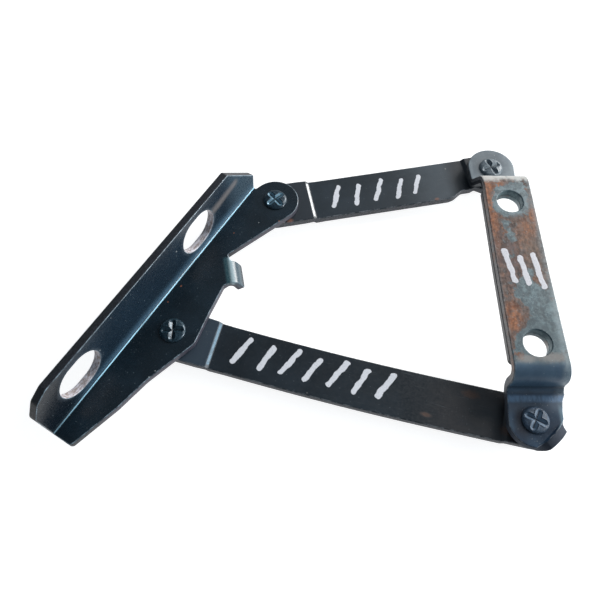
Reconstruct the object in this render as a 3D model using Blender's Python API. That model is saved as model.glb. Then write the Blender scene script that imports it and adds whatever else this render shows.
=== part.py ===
"""Bonnet hinge for a car: a riveted four-bar linkage pressed from sheet steel.

A hat-shaped body bracket carries two links on riveted pivots, and the links
carry an L-section bonnet bracket. The linkage moves in the XZ plane, so every
pivot axis is parallel to Y. X points to the rear of the car, Z is up, and -Y is
the side that the cross-staked rivet heads are on. "Near" means toward -Y and
"far" toward +Y. The crown of the body bracket touches the body in the plane
Y = 0, and the origin is close to the middle of that face. The hinge stands in
its open position.

Lengths are in millimetres and are turned into metres when a mesh is made.
"""

import math
from collections import namedtuple

import bmesh
import bpy
from mathutils import Matrix, Vector
from mathutils.geometry import delaunay_2d_cdt

MM = 0.001

# Pivot centres (X, Z), named by the part they belong to and their place on it.
BODY_Z = 1.2
BODY_FRONT = (-59.3, BODY_Z)
BODY_REAR = (59.3, BODY_Z)
BONNET_REAR = (39.9, BODY_Z + 99.5)
BONNET_FRONT = (-23.9, BODY_Z + 139.1)

# Stack along Y at a pivot. The near faces of all four pivot plates lie in one plane.
CLEAR = 0.05
PLATE_Y = 11.5
PLATE_T = 3.5
PLATE_FAR_Y = PLATE_Y + PLATE_T
WASHER_T = 0.7
LINK_T = 3.5
LINK_END_Y = PLATE_FAR_Y + 0.8  # near face of a link at its pivots
BACK_WASHER_Y = LINK_END_Y + LINK_T + 0.1
BACK_WASHER_T = 1.0

# Radii at a pivot.
SHANK_R = 4.0
PLATE_HOLE_R = 4.1
BUSH_BORE_R = 4.15
WASHER_BORE_R = 4.2
BUSH_R = 5.0
LINK_HOLE_R = 5.1
WASHER_R = 8.0
BACK_WASHER_R = WASHER_R - 0.4

EDGE_R = 0.45  # rounding of the sheared edges
ROLL_R = 0.8  # rounding on the side of a blank that the punch entered
EDGE_STEPS = 2

# Material name -> settings.
FINISHES = {
    "worn_blue_grey_paint": dict(
        colour=(0.075, 0.100, 0.120, 1.0), roughness=0.55, metallic=0.0
    ),
    "dark_gloss_paint": dict(colour=(0.020, 0.035, 0.045, 1.0), roughness=0.28, metallic=0.0),
    "dark_satin_paint": dict(colour=(0.030, 0.040, 0.052, 1.0), roughness=0.38, metallic=0.0),
    "painted_rivet": dict(colour=(0.020, 0.035, 0.045, 1.0), roughness=0.35, metallic=0.2),
    "bare_steel": dict(colour=(0.20, 0.20, 0.20, 1.0), roughness=0.4, metallic=1.0),
    "sintered_bronze": dict(colour=(0.35, 0.22, 0.10, 1.0), roughness=0.5, metallic=1.0),
}


# ---------------------------------------------------------------- scene set-up


def clear_scene():
    for obj in list(bpy.data.objects):
        bpy.data.objects.remove(obj, do_unlink=True)


def material(name, colour, roughness, metallic):
    made = bpy.data.materials.new(name)
    made.use_nodes = True
    shader = made.node_tree.nodes["Principled BSDF"]
    shader.inputs["Base Color"].default_value = colour
    shader.inputs["Roughness"].default_value = roughness
    shader.inputs["Metallic"].default_value = metallic
    made.diffuse_color = colour
    return made


def pivot_empty(name, centre, parent=None):
    """An empty at a pivot centre (X, Z), in the plane of the plates' near faces."""
    made = bpy.data.objects.new(name, None)
    made.empty_display_size = 0.01
    bpy.context.scene.collection.objects.link(made)
    place = Matrix.Translation(Vector((centre[0], PLATE_Y, centre[1])) * MM)
    if parent:
        made.parent = parent
        made.matrix_local = parent.matrix_world.inverted() @ place
    else:
        made.matrix_world = place
    bpy.context.view_layer.update()
    return made


def add_node(name, solid, finish, parent):
    """Links a bmesh given in world millimetres as an object whose origin is its parent's."""
    origin = parent.matrix_world.translation / MM
    bmesh.ops.translate(solid, verts=solid.verts, vec=-origin)
    bmesh.ops.scale(solid, verts=solid.verts, vec=(MM, MM, MM))
    bmesh.ops.recalc_face_normals(solid, faces=solid.faces)
    mesh = bpy.data.meshes.new(name)
    solid.to_mesh(mesh)
    solid.free()
    mesh.materials.append(finish)
    made = bpy.data.objects.new(name, mesh)
    bpy.context.scene.collection.objects.link(made)
    made.parent = parent
    return made


def add_helper(name, solid, finish, parent):
    """A node that only serves as the operand of a boolean."""
    helper = add_node(name, solid, finish, parent)
    helper.hide_render = True
    helper.display_type = "WIRE"
    return helper


def add_boolean(target, name, operation, helper):
    modifier = target.modifiers.new(name, "BOOLEAN")
    modifier.operation = operation
    modifier.solver = "EXACT"
    modifier.object = helper


# ------------------------------------------------------------- plane geometry


def arc(centre, radius, start, end, most=9.0):
    """Points on an arc with both ends; angles in degrees, most is the largest step."""
    count = max(2, int(math.ceil(abs(end - start) / most)) + 1)
    angles = [math.radians(start + (end - start) * i / (count - 1)) for i in range(count)]
    return [
        (centre[0] + radius * math.cos(angle), centre[1] + radius * math.sin(angle))
        for angle in angles
    ]


def circle(centre, radius, step=15):
    return arc(centre, radius, 0, 360 - step, step)


def obround(centre, length, width):
    radius = width / 2
    half = length / 2 - radius
    right = arc((centre[0] + half, centre[1]), radius, -90, 90, 12.0)
    left = arc((centre[0] - half, centre[1]), radius, 90, 270, 12.0)
    return right + left


def rounded(corners, most=12.0):
    """An outline from (x, y, radius) corners. A radius of 0 keeps the point itself."""
    points = []
    count = len(corners)
    for i, (x, y, radius) in enumerate(corners):
        here = Vector((x, y))
        if radius <= 0:
            points.append((x, y))
            continue
        before = (Vector(corners[i - 1][:2]) - here).normalized()
        after = (Vector(corners[(i + 1) % count][:2]) - here).normalized()
        half = before.angle(after) / 2
        reach = radius / math.tan(half)
        centre = here + (before + after).normalized() * (radius / math.sin(half))
        first = here + before * reach - centre
        last = here + after * reach - centre
        start = math.atan2(first.y, first.x)
        turn = math.atan2(first.cross(last), first.dot(last))
        steps = max(2, int(math.ceil(math.degrees(abs(turn)) / most)) + 1)
        for k in range(steps):
            angle = start + turn * k / (steps - 1)
            points.append(
                (centre.x + radius * math.cos(angle), centre.y + radius * math.sin(angle))
            )
    return points


def signed_area(points):
    """Positive for a counter-clockwise outline."""
    total = 0.0
    for (x, y), (next_x, next_y) in zip(points, points[1:] + points[:1]):
        total += x * next_y - next_x * y
    return total / 2


def tidy(points, least=0.02):
    """Drops points closer than least to the one before."""
    kept = []
    for point in points:
        if not kept or math.dist(point, kept[-1]) > least:
            kept.append(point)
    if math.dist(kept[0], kept[-1]) <= least:
        kept.pop()
    return kept


def moved_in(points, amount):
    """The outline moved to its left by amount, vertex by vertex."""
    count = len(points)
    moved = []
    for i in range(count):
        here = Vector(points[i])
        back = (here - Vector(points[i - 1])).normalized()
        ahead = (Vector(points[(i + 1) % count]) - here).normalized()
        back_normal = Vector((-back.y, back.x))
        mean = back_normal + Vector((-ahead.y, ahead.x))
        # The lower limit keeps a sharp corner from moving too far.
        mean = mean / max(mean.dot(back_normal), 0.35)
        moved.append(tuple(here + mean * amount))
    return moved


def inside(point, loop):
    x, y = point
    found = False
    for (from_x, from_y), (to_x, to_y) in zip(loop, loop[1:] + loop[:1]):
        crosses = (from_y > y) != (to_y > y)
        if crosses and x < from_x + (y - from_y) * (to_x - from_x) / (to_y - from_y):
            found = not found
    return found


def smooth_step(t):
    t = min(max(t, 0.0), 1.0)
    return t * t * (3 - 2 * t)


# ---------------------------------------------------------------- sheet solids


def cap(loops):
    """Triangles over the area between an outer loop and its holes."""
    points, edges = [], []
    for loop in loops:
        first = len(points)
        points += [Vector(point) for point in loop]
        edges += [(first + i, first + (i + 1) % len(loop)) for i in range(len(loop))]
    made, _, faces, origins, _, _ = delaunay_2d_cdt(points, edges, [], 1, 1e-7)
    index = [group[0] for group in origins]
    kept = []
    for face in faces:
        middle = sum((made[i] for i in face), Vector((0, 0))) / 3
        if inside(middle, loops[0]) and not any(inside(middle, hole) for hole in loops[1:]):
            kept.append([index[i] for i in face])
    return kept


def edge_profile(radius, height, side):
    """(inset, height) from a face at this height, on this side, round to the sheared wall."""
    angles = [math.radians(90 * k / EDGE_STEPS) for k in range(EDGE_STEPS + 1)]
    return [
        (radius * (1 - math.sin(angle)), height - side * radius * (1 - math.cos(angle)))
        for angle in angles
    ]


def flat_plate(outer, holes, near, far, far_edge=EDGE_R):
    """A flat solid between heights far and near, with rounded edges on every outline."""
    outer = tidy(outer)
    if signed_area(outer) < 0:
        outer.reverse()
    loops = [outer]
    for hole in holes:
        hole = tidy(hole)
        if signed_area(hole) > 0:
            hole.reverse()
        loops.append(hole)
    profile = edge_profile(EDGE_R, near, 1) + edge_profile(far_edge, far, -1)[::-1]
    rings = [[moved_in(loop, inset) for loop in loops] for inset, _ in profile]
    solid = bmesh.new()
    layers = [
        [[solid.verts.new((x, y, height)) for x, y in loop] for loop in ring]
        for ring, (_, height) in zip(rings, profile)
    ]
    for upper, lower in zip(layers, layers[1:]):
        for high, low in zip(upper, lower):
            for i in range(len(high)):
                j = (i + 1) % len(high)
                solid.faces.new((high[i], low[i], low[j], high[j]))
    for end, flip in ((0, False), (-1, True)):
        verts = [vert for loop in layers[end] for vert in loop]
        for face in cap(rings[end]):
            corners = [verts[i] for i in face]
            solid.faces.new(corners[::-1] if flip else corners)
    return solid


def slice_across(solid, origin, normal, faces=None):
    """Cuts edges into the given faces, or into all of them, where a plane crosses."""
    if faces is None:
        geometry = list(solid.verts) + list(solid.edges) + list(solid.faces)
    else:
        edges = {edge for face in faces for edge in face.edges}
        verts = {vert for face in faces for vert in face.verts}
        geometry = list(verts) + list(edges) + faces
    bmesh.ops.bisect_plane(
        solid, geom=geometry, dist=1e-6, plane_co=origin, plane_no=normal
    )


def bend(past, radius, middle_radius, angle):
    """(run, rise) from the axis of a bend, for a point of the flat sheet.

    past is how far the point lies beyond the start of the bend, and radius is its
    distance from the axis. The mid-surface keeps its length.
    """
    turn = min(past / middle_radius, angle)
    rest = max(0.0, past - middle_radius * angle)
    run = radius * math.sin(turn) + rest * math.cos(turn)
    rise = -radius * math.cos(turn) + rest * math.sin(turn)
    return run, rise


def finish_sheet(solid, frame):
    """Cleans up the cut faces and moves the sheet to its place in the world."""
    large = [face for face in solid.faces if len(face.verts) > 4]
    bmesh.ops.triangulate(solid, faces=large)
    bmesh.ops.dissolve_degenerate(solid, dist=1e-5, edges=solid.edges)
    bmesh.ops.transform(solid, matrix=frame, verts=solid.verts)
    return solid


def pivot_frame(start, end, depth):
    """Frame at pivot start and Y = depth, with x toward pivot end and z toward -Y."""
    along = Vector((end[0] - start[0], 0, end[1] - start[1])).normalized()
    across = Vector((along.z, 0, -along.x))
    near = Vector((0, -1, 0))
    axes = Matrix((along, across, near)).transposed().to_4x4()
    return Matrix.Translation((start[0], depth, start[1])) @ axes


# ------------------------------------------------------------- bonnet bracket
# Its frame: x along the pivot line from rear to front, y toward the flange, z toward -Y.

BONNET_SPAN = math.dist(BONNET_REAR, BONNET_FRONT)
LOBE_R = 10.4  # round end about the rear pivot
END_X = 131.2

# The flange leans out a little: FLANGE_IN_Y is where its inner face meets the web.
FLANGE_IN_Y = 11.95
FLANGE_H = 24.0
FOLD_R = 1.0
FOLD_ANGLE = math.radians(87.5)
FOLD_MIDDLE_R = FOLD_R + PLATE_T / 2
FOLD_LENGTH = FOLD_MIDDLE_R * FOLD_ANGLE
FOLD_START = FLANGE_IN_Y - FOLD_R * math.tan(FOLD_ANGLE / 2)
FOLD_CUTS = 8
SLOT = (19.8, 16.5)  # length, width
SLOTS = ((37.4, 12.4), (109.6, 12.1))  # centres: x, height on the flange

# Closing stop: a tab bent toward the far side out of the edge of the bracket.
# Its own coordinates are along the bend axis and outward, from STOP_AT.
STOP_AT = (36.3, -1.7)
STOP_AXIS = (0.742, -0.670)
STOP_OUT = (-0.670, -0.742)
STOP_START = -1.9
STOP_R = 1.3
STOP_ANGLE = math.radians(65)
STOP_FLAT = 3.4
STOP_MIDDLE_R = STOP_R + PLATE_T / 2
STOP_LENGTH = STOP_MIDDLE_R * STOP_ANGLE
STOP_REACH = STOP_START + STOP_LENGTH + STOP_FLAT
STOP_CUTS = 6
STOP_ROOT = (-3.3, -0.9)  # the bend fades in between these, along its axis
# Only points between these along the axis, and below this y, belong to the tab.
STOP_ALONG = (-6.0, 12.5)
STOP_TOP_Y = 6.0
# Corners of the tab: along, outward, corner radius.
STOP_CORNERS = (
    (10.0, -2.7, 1.2),
    (10.6, STOP_REACH, 1.1),
    (-0.6, STOP_REACH, 1.1),
    (-0.6, -0.9, 0.5),
    (-3.7, -1.1, 0.9),
)
# Free edge of the web from the front end back to the tab: x, y, corner radius.
WEB_EDGE = (
    (END_X, 3.6, 1.6),
    (111.0, -1.7, 14.0),
    (97.0, -4.1, 14.0),
    (84.0, -7.9, 8.0),
    (75.0, -10.6, 7.0),
    (60.5, -7.6, 10.0),
    (47.8, -5.5, 1.8),
)
# Edge of the flange from rear to front: x, height on the flange, corner radius.
FLANGE_EDGE = (
    (-1.75, 7.2, 1.2),
    (14.6, FLANGE_H, 1.2),
    (121.5, FLANGE_H, 3.0),
    (127.0, 21.6, 3.0),
    (END_X, 15.6, 3.0),
)


def flange_y(height):
    """Flat-pattern coordinate of a height on the inner face of the flange."""
    rest = (height - FOLD_R * (1 - math.cos(FOLD_ANGLE))) / math.sin(FOLD_ANGLE)
    return FOLD_START + FOLD_LENGTH + rest


def bonnet_outline():
    """Outline of the flat blank."""
    corners = [(x, y, 0) for x, y in arc((0, 0), LOBE_R, -72, -254, 8.0)]
    corners.append((-0.5, FOLD_START - 0.2, 0.6))
    corners += [(x, flange_y(height), radius) for x, height, radius in FLANGE_EDGE]
    corners += WEB_EDGE
    for along, outward, radius in STOP_CORNERS:
        x = STOP_AT[0] + STOP_AXIS[0] * along + STOP_OUT[0] * outward
        y = STOP_AT[1] + STOP_AXIS[1] * along + STOP_OUT[1] * outward
        corners.append((x, y, radius))
    return rounded(corners)


def fold_stop(solid):
    """Bends the stop tab toward the far side."""
    axis, out, at = Vector(STOP_AXIS), Vector(STOP_OUT), Vector(STOP_AT)

    def tab_place(co):
        offset = Vector(co[:2]) - at
        return offset.dot(axis), offset.dot(out)

    def in_tab(co):
        along, outward = tab_place(co)
        beside = STOP_ALONG[0] < along < STOP_ALONG[1]
        return beside and outward > STOP_START - 0.2 and co[1] < STOP_TOP_Y

    for k in range(STOP_CUTS + 1):
        origin = at + out * (STOP_START + STOP_LENGTH * k / STOP_CUTS)
        faces = [face for face in solid.faces if any(in_tab(vert.co) for vert in face.verts)]
        slice_across(solid, (origin.x, origin.y, 0), (out.x, out.y, 0), faces)
    for vert in solid.verts:
        along, outward = tab_place(vert.co)
        whole = outward - STOP_START
        past = whole * smooth_step((along - STOP_ROOT[0]) / (STOP_ROOT[1] - STOP_ROOT[0]))
        beside = STOP_ALONG[0] < along < STOP_ALONG[1]
        if not beside or past <= 1e-6 or vert.co.y > STOP_TOP_Y:
            continue
        # The axis of the bend lies on the far side of the plate.
        axis_depth = STOP_R + PLATE_T
        run, rise = bend(past, axis_depth + vert.co.z, STOP_MIDDLE_R, STOP_ANGLE)
        place = at + axis * along + out * (STOP_START + whole - past + run)
        vert.co = (place.x, place.y, -axis_depth - rise)


def fold_flange(solid):
    """Bends the flange toward the near side."""
    for k in range(FOLD_CUTS + 1):
        slice_across(solid, (0, FOLD_START + FOLD_LENGTH * k / FOLD_CUTS, 0), (0, 1, 0))
    for vert in solid.verts:
        x, y, z = vert.co
        if y <= FOLD_START + 1e-6:
            continue
        run, rise = bend(y - FOLD_START, FOLD_R - z, FOLD_MIDDLE_R, FOLD_ANGLE)
        vert.co = (x, FOLD_START + run, FOLD_R + rise)


def bonnet_bracket():
    holes = [circle((x, 0), PLATE_HOLE_R) for x in (0, BONNET_SPAN)]
    holes += [obround((x, flange_y(height)), *SLOT) for x, height in SLOTS]
    solid = flat_plate(bonnet_outline(), holes, near=0.0, far=-PLATE_T, far_edge=ROLL_R)
    fold_stop(solid)
    fold_flange(solid)
    return finish_sheet(solid, pivot_frame(BONNET_REAR, BONNET_FRONT, PLATE_Y))


# --------------------------------------------------------------- body bracket
# Its frame: x to the rear from the front pivot, y up from the pivot line, z toward -Y.

BODY_SPAN = BODY_REAR[0] - BODY_FRONT[0]
CROWN_X = (18.2, 102.2)
FOOT_X = (10.4, 113.6)
EAR_R = 10.5
REAR_EAR_R = EAR_R + 0.2
REAR_EAR_Y = -0.3
BODY_HOLE_R = 5.5
BODY_HOLES = ((26.6, -1.3), (91.8, -1.0))  # centres: x, y

# Steps between ears and crown: x from and to, between theoretical corners, and rise.
BODY_STEPS = (
    (FOOT_X[0], CROWN_X[0], PLATE_Y),
    (CROWN_X[1], FOOT_X[1], -PLATE_Y),
)
STEP_MIDDLE_R = 2.5 + PLATE_T / 2
STEP_CUTS = 6  # per bend

# Lip: the lower front corner of the front ear, turned toward the near side.
LIP_LINE = 6.8  # distance of the bend's start from the pivot
LIP_DIRECTION = (-0.75, -0.661)
LIP_MIDDLE_R = 0.6 + PLATE_T / 2
LIP_ANGLE = math.radians(76)
LIP_LENGTH = LIP_MIDDLE_R * LIP_ANGLE
LIP_CUTS = 5
LIP_OUT = 11.4
LIP_X_MAX = 4  # the lip lies forward of this

# Upper edge from the rear ear to the front ear: finished x, y, corner radius.
BODY_UPPER_EDGE = (
    (113.0, 9.9, 3.0),
    (100.0, 9.0, 6.0),
    (60.0, 9.3, 30.0),
    (18.0, 9.1, 6.0),
    (9.0, 9.3, 3.0),
    (4.5, 9.9, 3.0),
)
# Lower edge from the lip to the rear ear: finished x, y, corner radius.
BODY_LOWER_EDGE = (
    (-1.0, -10.8, 1.2),
    (3.5, -11.1, 3.0),
    (7.6, -11.9, 2.0),
    (10.0, -13.1, 1.5),
    (13.5, -13.0, 3.0),
    (20.0, -12.3, 6.0),
    (60.0, -11.4, 40.0),
    (97.0, -11.0, 10.0),
    (112.0, -10.6, 5.0),
)

# Backing plate on the far side of the crown: x range, and world Y from and to.
BACK_X = (19.6, 100.4)
BACK_Y = (3.0, 6.0)
BACK_HOLE_R = 5.3
# Its outline, a little proud of the crown's upper edge and inside its lower edge:
# x, y, corner radius.
BACK_OUTLINE = (
    (BACK_X[1], 9.2, 2.0),
    (60.0, 9.5, 30.0),
    (BACK_X[0], 9.3, 2.0),
    (BACK_X[0], -11.2, 2.0),
    (60.0, -10.5, 40.0),
    (BACK_X[1], -10.1, 2.0),
)

# One step of the strip. start and middle are finished x, flat_start is on the flat
# strip. angle and straight describe the two bends and the wall between them. extra
# is the length of the flat strip over the finished run.
Step = namedtuple("Step", "start flat_start middle sign angle straight extra")


def step_angle(run, high):
    """Angle of two equal bends, joined by a straight, that climb high over run."""
    low, top = 0.01, math.radians(89)
    for _ in range(60):
        angle = (low + top) / 2
        left = run - 2 * STEP_MIDDLE_R * math.tan(angle / 2)
        if left * math.tan(angle) > high:
            top = angle
        else:
            low = angle
    return (low + top) / 2


def plan_steps():
    steps = []
    extra_before = 0.0
    for from_x, to_x, rise in BODY_STEPS:
        run, high = to_x - from_x, abs(rise)
        angle = step_angle(run, high)
        bends_high = 2 * STEP_MIDDLE_R * (1 - math.cos(angle))
        straight = max(0.0, (high - bends_high) / math.sin(angle))
        bent_run = 2 * STEP_MIDDLE_R * math.sin(angle) + straight * math.cos(angle)
        start = from_x + (run - bent_run) / 2
        extra = 2 * STEP_MIDDLE_R * angle + straight - bent_run
        steps.append(
            Step(
                start=start,
                flat_start=start + extra_before,
                middle=from_x + run / 2,
                sign=1 if rise > 0 else -1,
                angle=angle,
                straight=straight,
                extra=extra,
            )
        )
        extra_before += extra
    return steps


def stretch(x, steps):
    """Flat coordinate of a finished x."""
    return x + sum(step.extra for step in steps if x > step.middle)


def stepped_point(x, steps):
    """(x, height, tangent angle) of the mid-surface at a flat coordinate."""
    bent_x, height, tilt = x, 0.0, 0.0
    radius = STEP_MIDDLE_R
    for step in steps:
        along = x - step.flat_start
        if along <= 0:
            break
        angle = step.angle
        past_first = max(0.0, along - radius * angle)
        past_wall = max(0.0, past_first - step.straight)
        beyond = max(0.0, past_wall - radius * angle)
        first = min(along / radius, angle)
        wall = min(past_first, step.straight)
        second = min(past_wall / radius, angle)
        bent_x = (
            step.start
            + radius * math.sin(first)
            + wall * math.cos(angle)
            + radius * (math.sin(angle) - math.sin(angle - second))
            + beyond
        )
        height += step.sign * (
            radius * (1 - math.cos(first))
            + wall * math.sin(angle)
            + radius * (math.cos(angle - second) - math.cos(angle))
        )
        tilt = step.sign * (first - second)
    return bent_x, height, tilt


def fold_steps(solid, steps):
    """Steps the flat strip along x. Points keep their distance from the mid-surface."""
    for step in steps:
        bend_length = STEP_MIDDLE_R * step.angle
        for k in range(STEP_CUTS + 1):
            first_x = step.flat_start + bend_length * k / STEP_CUTS
            slice_across(solid, (first_x, 0, 0), (1, 0, 0))
            second_x = first_x + bend_length + step.straight
            slice_across(solid, (second_x, 0, 0), (1, 0, 0))
    for vert in solid.verts:
        x, y, z = vert.co
        bent_x, height, tilt = stepped_point(x, steps)
        vert.co = (bent_x - z * math.sin(tilt), y, height + z * math.cos(tilt))


def fold_lip(solid):
    out = Vector(LIP_DIRECTION).normalized()
    for k in range(LIP_CUTS + 1):
        origin = out * (LIP_LINE + LIP_LENGTH * k / LIP_CUTS)
        # Only faces that reach the front ear are cut.
        faces = [
            face for face in solid.faces if any(vert.co.x < LIP_X_MAX for vert in face.verts)
        ]
        slice_across(solid, (origin.x, origin.y, 0), (out.x, out.y, 0), faces)
    for vert in solid.verts:
        flat = Vector(vert.co[:2])
        past = flat.dot(out) - LIP_LINE
        if past <= 1e-6 or vert.co.x > LIP_X_MAX:
            continue
        # z = 0 is the mid-surface, and the axis of the bend is on the near side.
        run, rise = bend(past, LIP_MIDDLE_R - vert.co.z, LIP_MIDDLE_R, LIP_ANGLE)
        place = flat - out * past + out * run
        vert.co = (place.x, place.y, LIP_MIDDLE_R + rise)


def body_outline(steps):
    """Outline of the flat strip, before it is stepped."""
    rear_ear = arc((stretch(BODY_SPAN, steps), REAR_EAR_Y), REAR_EAR_R, -84, 84, 8.0)
    front_ear = arc((0, 0), EAR_R, 100, 186, 8.0)
    lip = arc((0, 0), LIP_OUT, 200, 252, 7.0)
    corners = [(x, y, 0) for x, y in rear_ear]
    corners += [(stretch(x, steps), y, radius) for x, y, radius in BODY_UPPER_EDGE]
    corners += [(x, y, 0) for x, y in front_ear + lip]
    corners += [(stretch(x, steps), y, radius) for x, y, radius in BODY_LOWER_EDGE]
    return rounded(corners)


def body_frame(depth):
    """Frame of the body bracket with its z = 0 at Y = depth."""
    return Matrix(
        (
            (1, 0, 0, BODY_FRONT[0]),
            (0, 0, -1, depth),
            (0, 1, 0, BODY_FRONT[1]),
            (0, 0, 0, 1),
        )
    )


def body_bracket():
    steps = plan_steps()
    holes = [circle((stretch(x, steps), 0), PLATE_HOLE_R) for x in (0, BODY_SPAN)]
    holes += [circle((stretch(x, steps), y), BODY_HOLE_R, 10) for x, y in BODY_HOLES]
    solid = flat_plate(body_outline(steps), holes, near=PLATE_T / 2, far=-PLATE_T / 2)
    fold_lip(solid)
    fold_steps(solid, steps)
    return finish_sheet(solid, body_frame(PLATE_Y + PLATE_T / 2))


def back_plate():
    holes = [circle(centre, BACK_HOLE_R, 10) for centre in BODY_HOLES]
    solid = flat_plate(rounded(BACK_OUTLINE), holes, near=-BACK_Y[0], far=-BACK_Y[1])
    return finish_sheet(solid, body_frame(0))


def add_body_bracket(finish, parent):
    """The backing plate is joined to the crown, so that the bracket is one solid."""
    bracket = add_node("body_bracket", body_bracket(), finish, parent)
    helper = add_helper("helper_back_plate", back_plate(), finish, parent)
    add_boolean(bracket, "Backing plate", "UNION", helper)


# ---------------------------------------------------------------------- links
# Frame of a link: x from its bonnet pivot to its body pivot, y toward the front of
# the car, z toward -Y.

LINK_OFFSET = -0.75  # y of the centre line at the pivots
LINK_SECTIONS = 24
WIDENING = 0.45  # extra half width at the bonnet pivot
WIDENING_X = 12  # the widening starts to fade here
WIDENING_FADE = 8

JOGGLE = 1.2  # the middle of a link lies this much further toward the far side
JOGGLE_RUN = 1.9
JOGGLE_CUTS = 8
BONNET_JOGGLE_START = 17.6 - JOGGLE_RUN  # from the bonnet pivot
BODY_JOGGLE_START = 10.3  # before the body pivot, behind the ear of the body bracket

# Relief in the front edge beside the body pivot: distance before the pivot, depth,
# corner radius. The plain edge stops at RELIEF_START before the pivot.
RELIEF_START = 22
RELIEF = ((21.5, 0, 0), (19.0, 0.6, 3), (14.5, 3.4, 3), (8.0, 3.4, 0))


def link_outline(span, half_width, bow, relieved):
    front_edge = []
    rear_edge = []
    for i in range(LINK_SECTIONS + 1):
        x = span * i / LINK_SECTIONS
        middle = LINK_OFFSET + bow * math.sin(math.pi * x / span)
        fade = max(0.0, 1 - max(0.0, x - WIDENING_X) / WIDENING_FADE)
        half = half_width + WIDENING * fade
        front_edge.append((x, middle + half))
        rear_edge.append((x, middle - half))
    body_end = 90
    if relieved:
        body_end = 126  # the round end runs on to meet the relief
        edge_y = LINK_OFFSET + half_width
        relief = [(span - before, edge_y - depth, radius) for before, depth, radius in RELIEF]
        front_edge = [point for point in front_edge if point[0] < span - RELIEF_START]
        front_edge += rounded(relief, 15.0)
    else:
        front_edge.pop()
    outline = arc((0, LINK_OFFSET), half_width + WIDENING, 90, 270)
    outline += rear_edge[1:-1]
    outline += arc((span, LINK_OFFSET), half_width, -90, body_end)
    outline += front_edge[:0:-1]
    return outline


def link(bonnet_end, body_end, half_width, bow=0.0, relieved=False):
    """A flat link with its two ends stepped toward the brackets."""
    span = math.dist(bonnet_end, body_end)
    holes = [circle((x, 0), LINK_HOLE_R) for x in (0, span)]
    outline = link_outline(span, half_width, bow, relieved)
    solid = flat_plate(outline, holes, near=LINK_T / 2, far=-LINK_T / 2)
    joggles = (BONNET_JOGGLE_START, span - BODY_JOGGLE_START)
    for start in joggles:
        for k in range(JOGGLE_CUTS + 1):
            slice_across(solid, (start + JOGGLE_RUN * k / JOGGLE_CUTS, 0, 0), (1, 0, 0))
    for vert in solid.verts:
        away, back = (smooth_step((vert.co.x - start) / JOGGLE_RUN) for start in joggles)
        vert.co.z -= JOGGLE * (away - back)
    return finish_sheet(solid, pivot_frame(bonnet_end, body_end, LINK_END_Y + LINK_T / 2))


# ---------------------------------------------------------------- round parts

RIVET_SEGMENTS = 40
WASHER_SEGMENTS = 36
WASHER_EDGE = 0.12  # chamfer of washers and bushes

HEAD_R = 5.2
HEAD_H = 1.35
HEAD_Y = PLATE_Y - CLEAR
HEAD_TOP_Y = HEAD_Y - HEAD_H
TAIL_R = 6.6
TAIL_H = 2.2
TAIL_Y = BACK_WASHER_Y + BACK_WASHER_T + CLEAR
SPLIT_Y = LINK_END_Y - CLEAR  # where a rivet in two pieces is divided

# The staked head on the near side, down to the shank: radius, Y.
HEAD_PROFILE = [
    (0.0, HEAD_TOP_Y),
    (1.7, HEAD_TOP_Y + 0.03),
    (3.2, HEAD_TOP_Y + 0.14),
    (4.3, HEAD_TOP_Y + 0.38),
    (4.95, HEAD_Y - 0.62),
    (HEAD_R, HEAD_Y - 0.28),
    (HEAD_R - 0.1, HEAD_Y),
    (SHANK_R, HEAD_Y),
]
# The factory head on the far side of the link, from the shank: radius, Y.
TAIL_PROFILE = [
    (SHANK_R, TAIL_Y),
    (TAIL_R - 0.25, TAIL_Y),
    (TAIL_R, TAIL_Y + 0.25),
    (TAIL_R, TAIL_Y + 0.9),
    (TAIL_R - 0.5, TAIL_Y + 1.4),
    (TAIL_R - 1.8, TAIL_Y + 1.95),
    (3.0, TAIL_Y + TAIL_H - 0.06),
    (0.0, TAIL_Y + TAIL_H),
]

# V-shaped grooves of the cross in a staked head.
GROOVE_HALF = 4.5
GROOVE_HALF_WIDTH = 1.9
GROOVE_END_SLOPE = 1.5  # the floor is this much shorter at each end
GROOVE_ABOVE = 0.35  # the cutter stands this far above the head
# Angle of each groove in the cross, in degrees -> its depth. The depths differ
# slightly, so the two floors do not meet.
GROOVE_DEPTHS = {0: 1.02, 90: 0.975}


def turned(profile, centre, segments):
    """A solid of revolution about a line along Y. profile is (radius, y), closed."""
    solid = bmesh.new()
    rings = []
    for radius, y in profile:
        if radius < 1e-6:
            rings.append([solid.verts.new((centre[0], y, centre[1]))])
            continue
        ring = []
        for k in range(segments):
            angle = 2 * math.pi * k / segments
            x = centre[0] + radius * math.cos(angle)
            z = centre[1] + radius * math.sin(angle)
            ring.append(solid.verts.new((x, y, z)))
        rings.append(ring)
    for ring, after in zip(rings, rings[1:] + rings[:1]):
        if len(ring) == 1 and len(after) == 1:
            continue
        for k in range(segments):
            j = (k + 1) % segments
            if len(ring) == 1:
                solid.faces.new((ring[0], after[k], after[j]))
            elif len(after) == 1:
                solid.faces.new((ring[k], after[0], ring[j]))
            else:
                solid.faces.new((ring[k], after[k], after[j], ring[j]))
    return solid


def tube(centre, inner, outer, near_y, far_y):
    edge = WASHER_EDGE
    profile = [
        (inner + edge, near_y),
        (outer - edge, near_y),
        (outer, near_y + edge),
        (outer, far_y - edge),
        (outer - edge, far_y),
        (inner + edge, far_y),
        (inner, far_y - edge),
        (inner, near_y + edge),
    ]
    return turned(profile, centre, WASHER_SEGMENTS)


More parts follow.
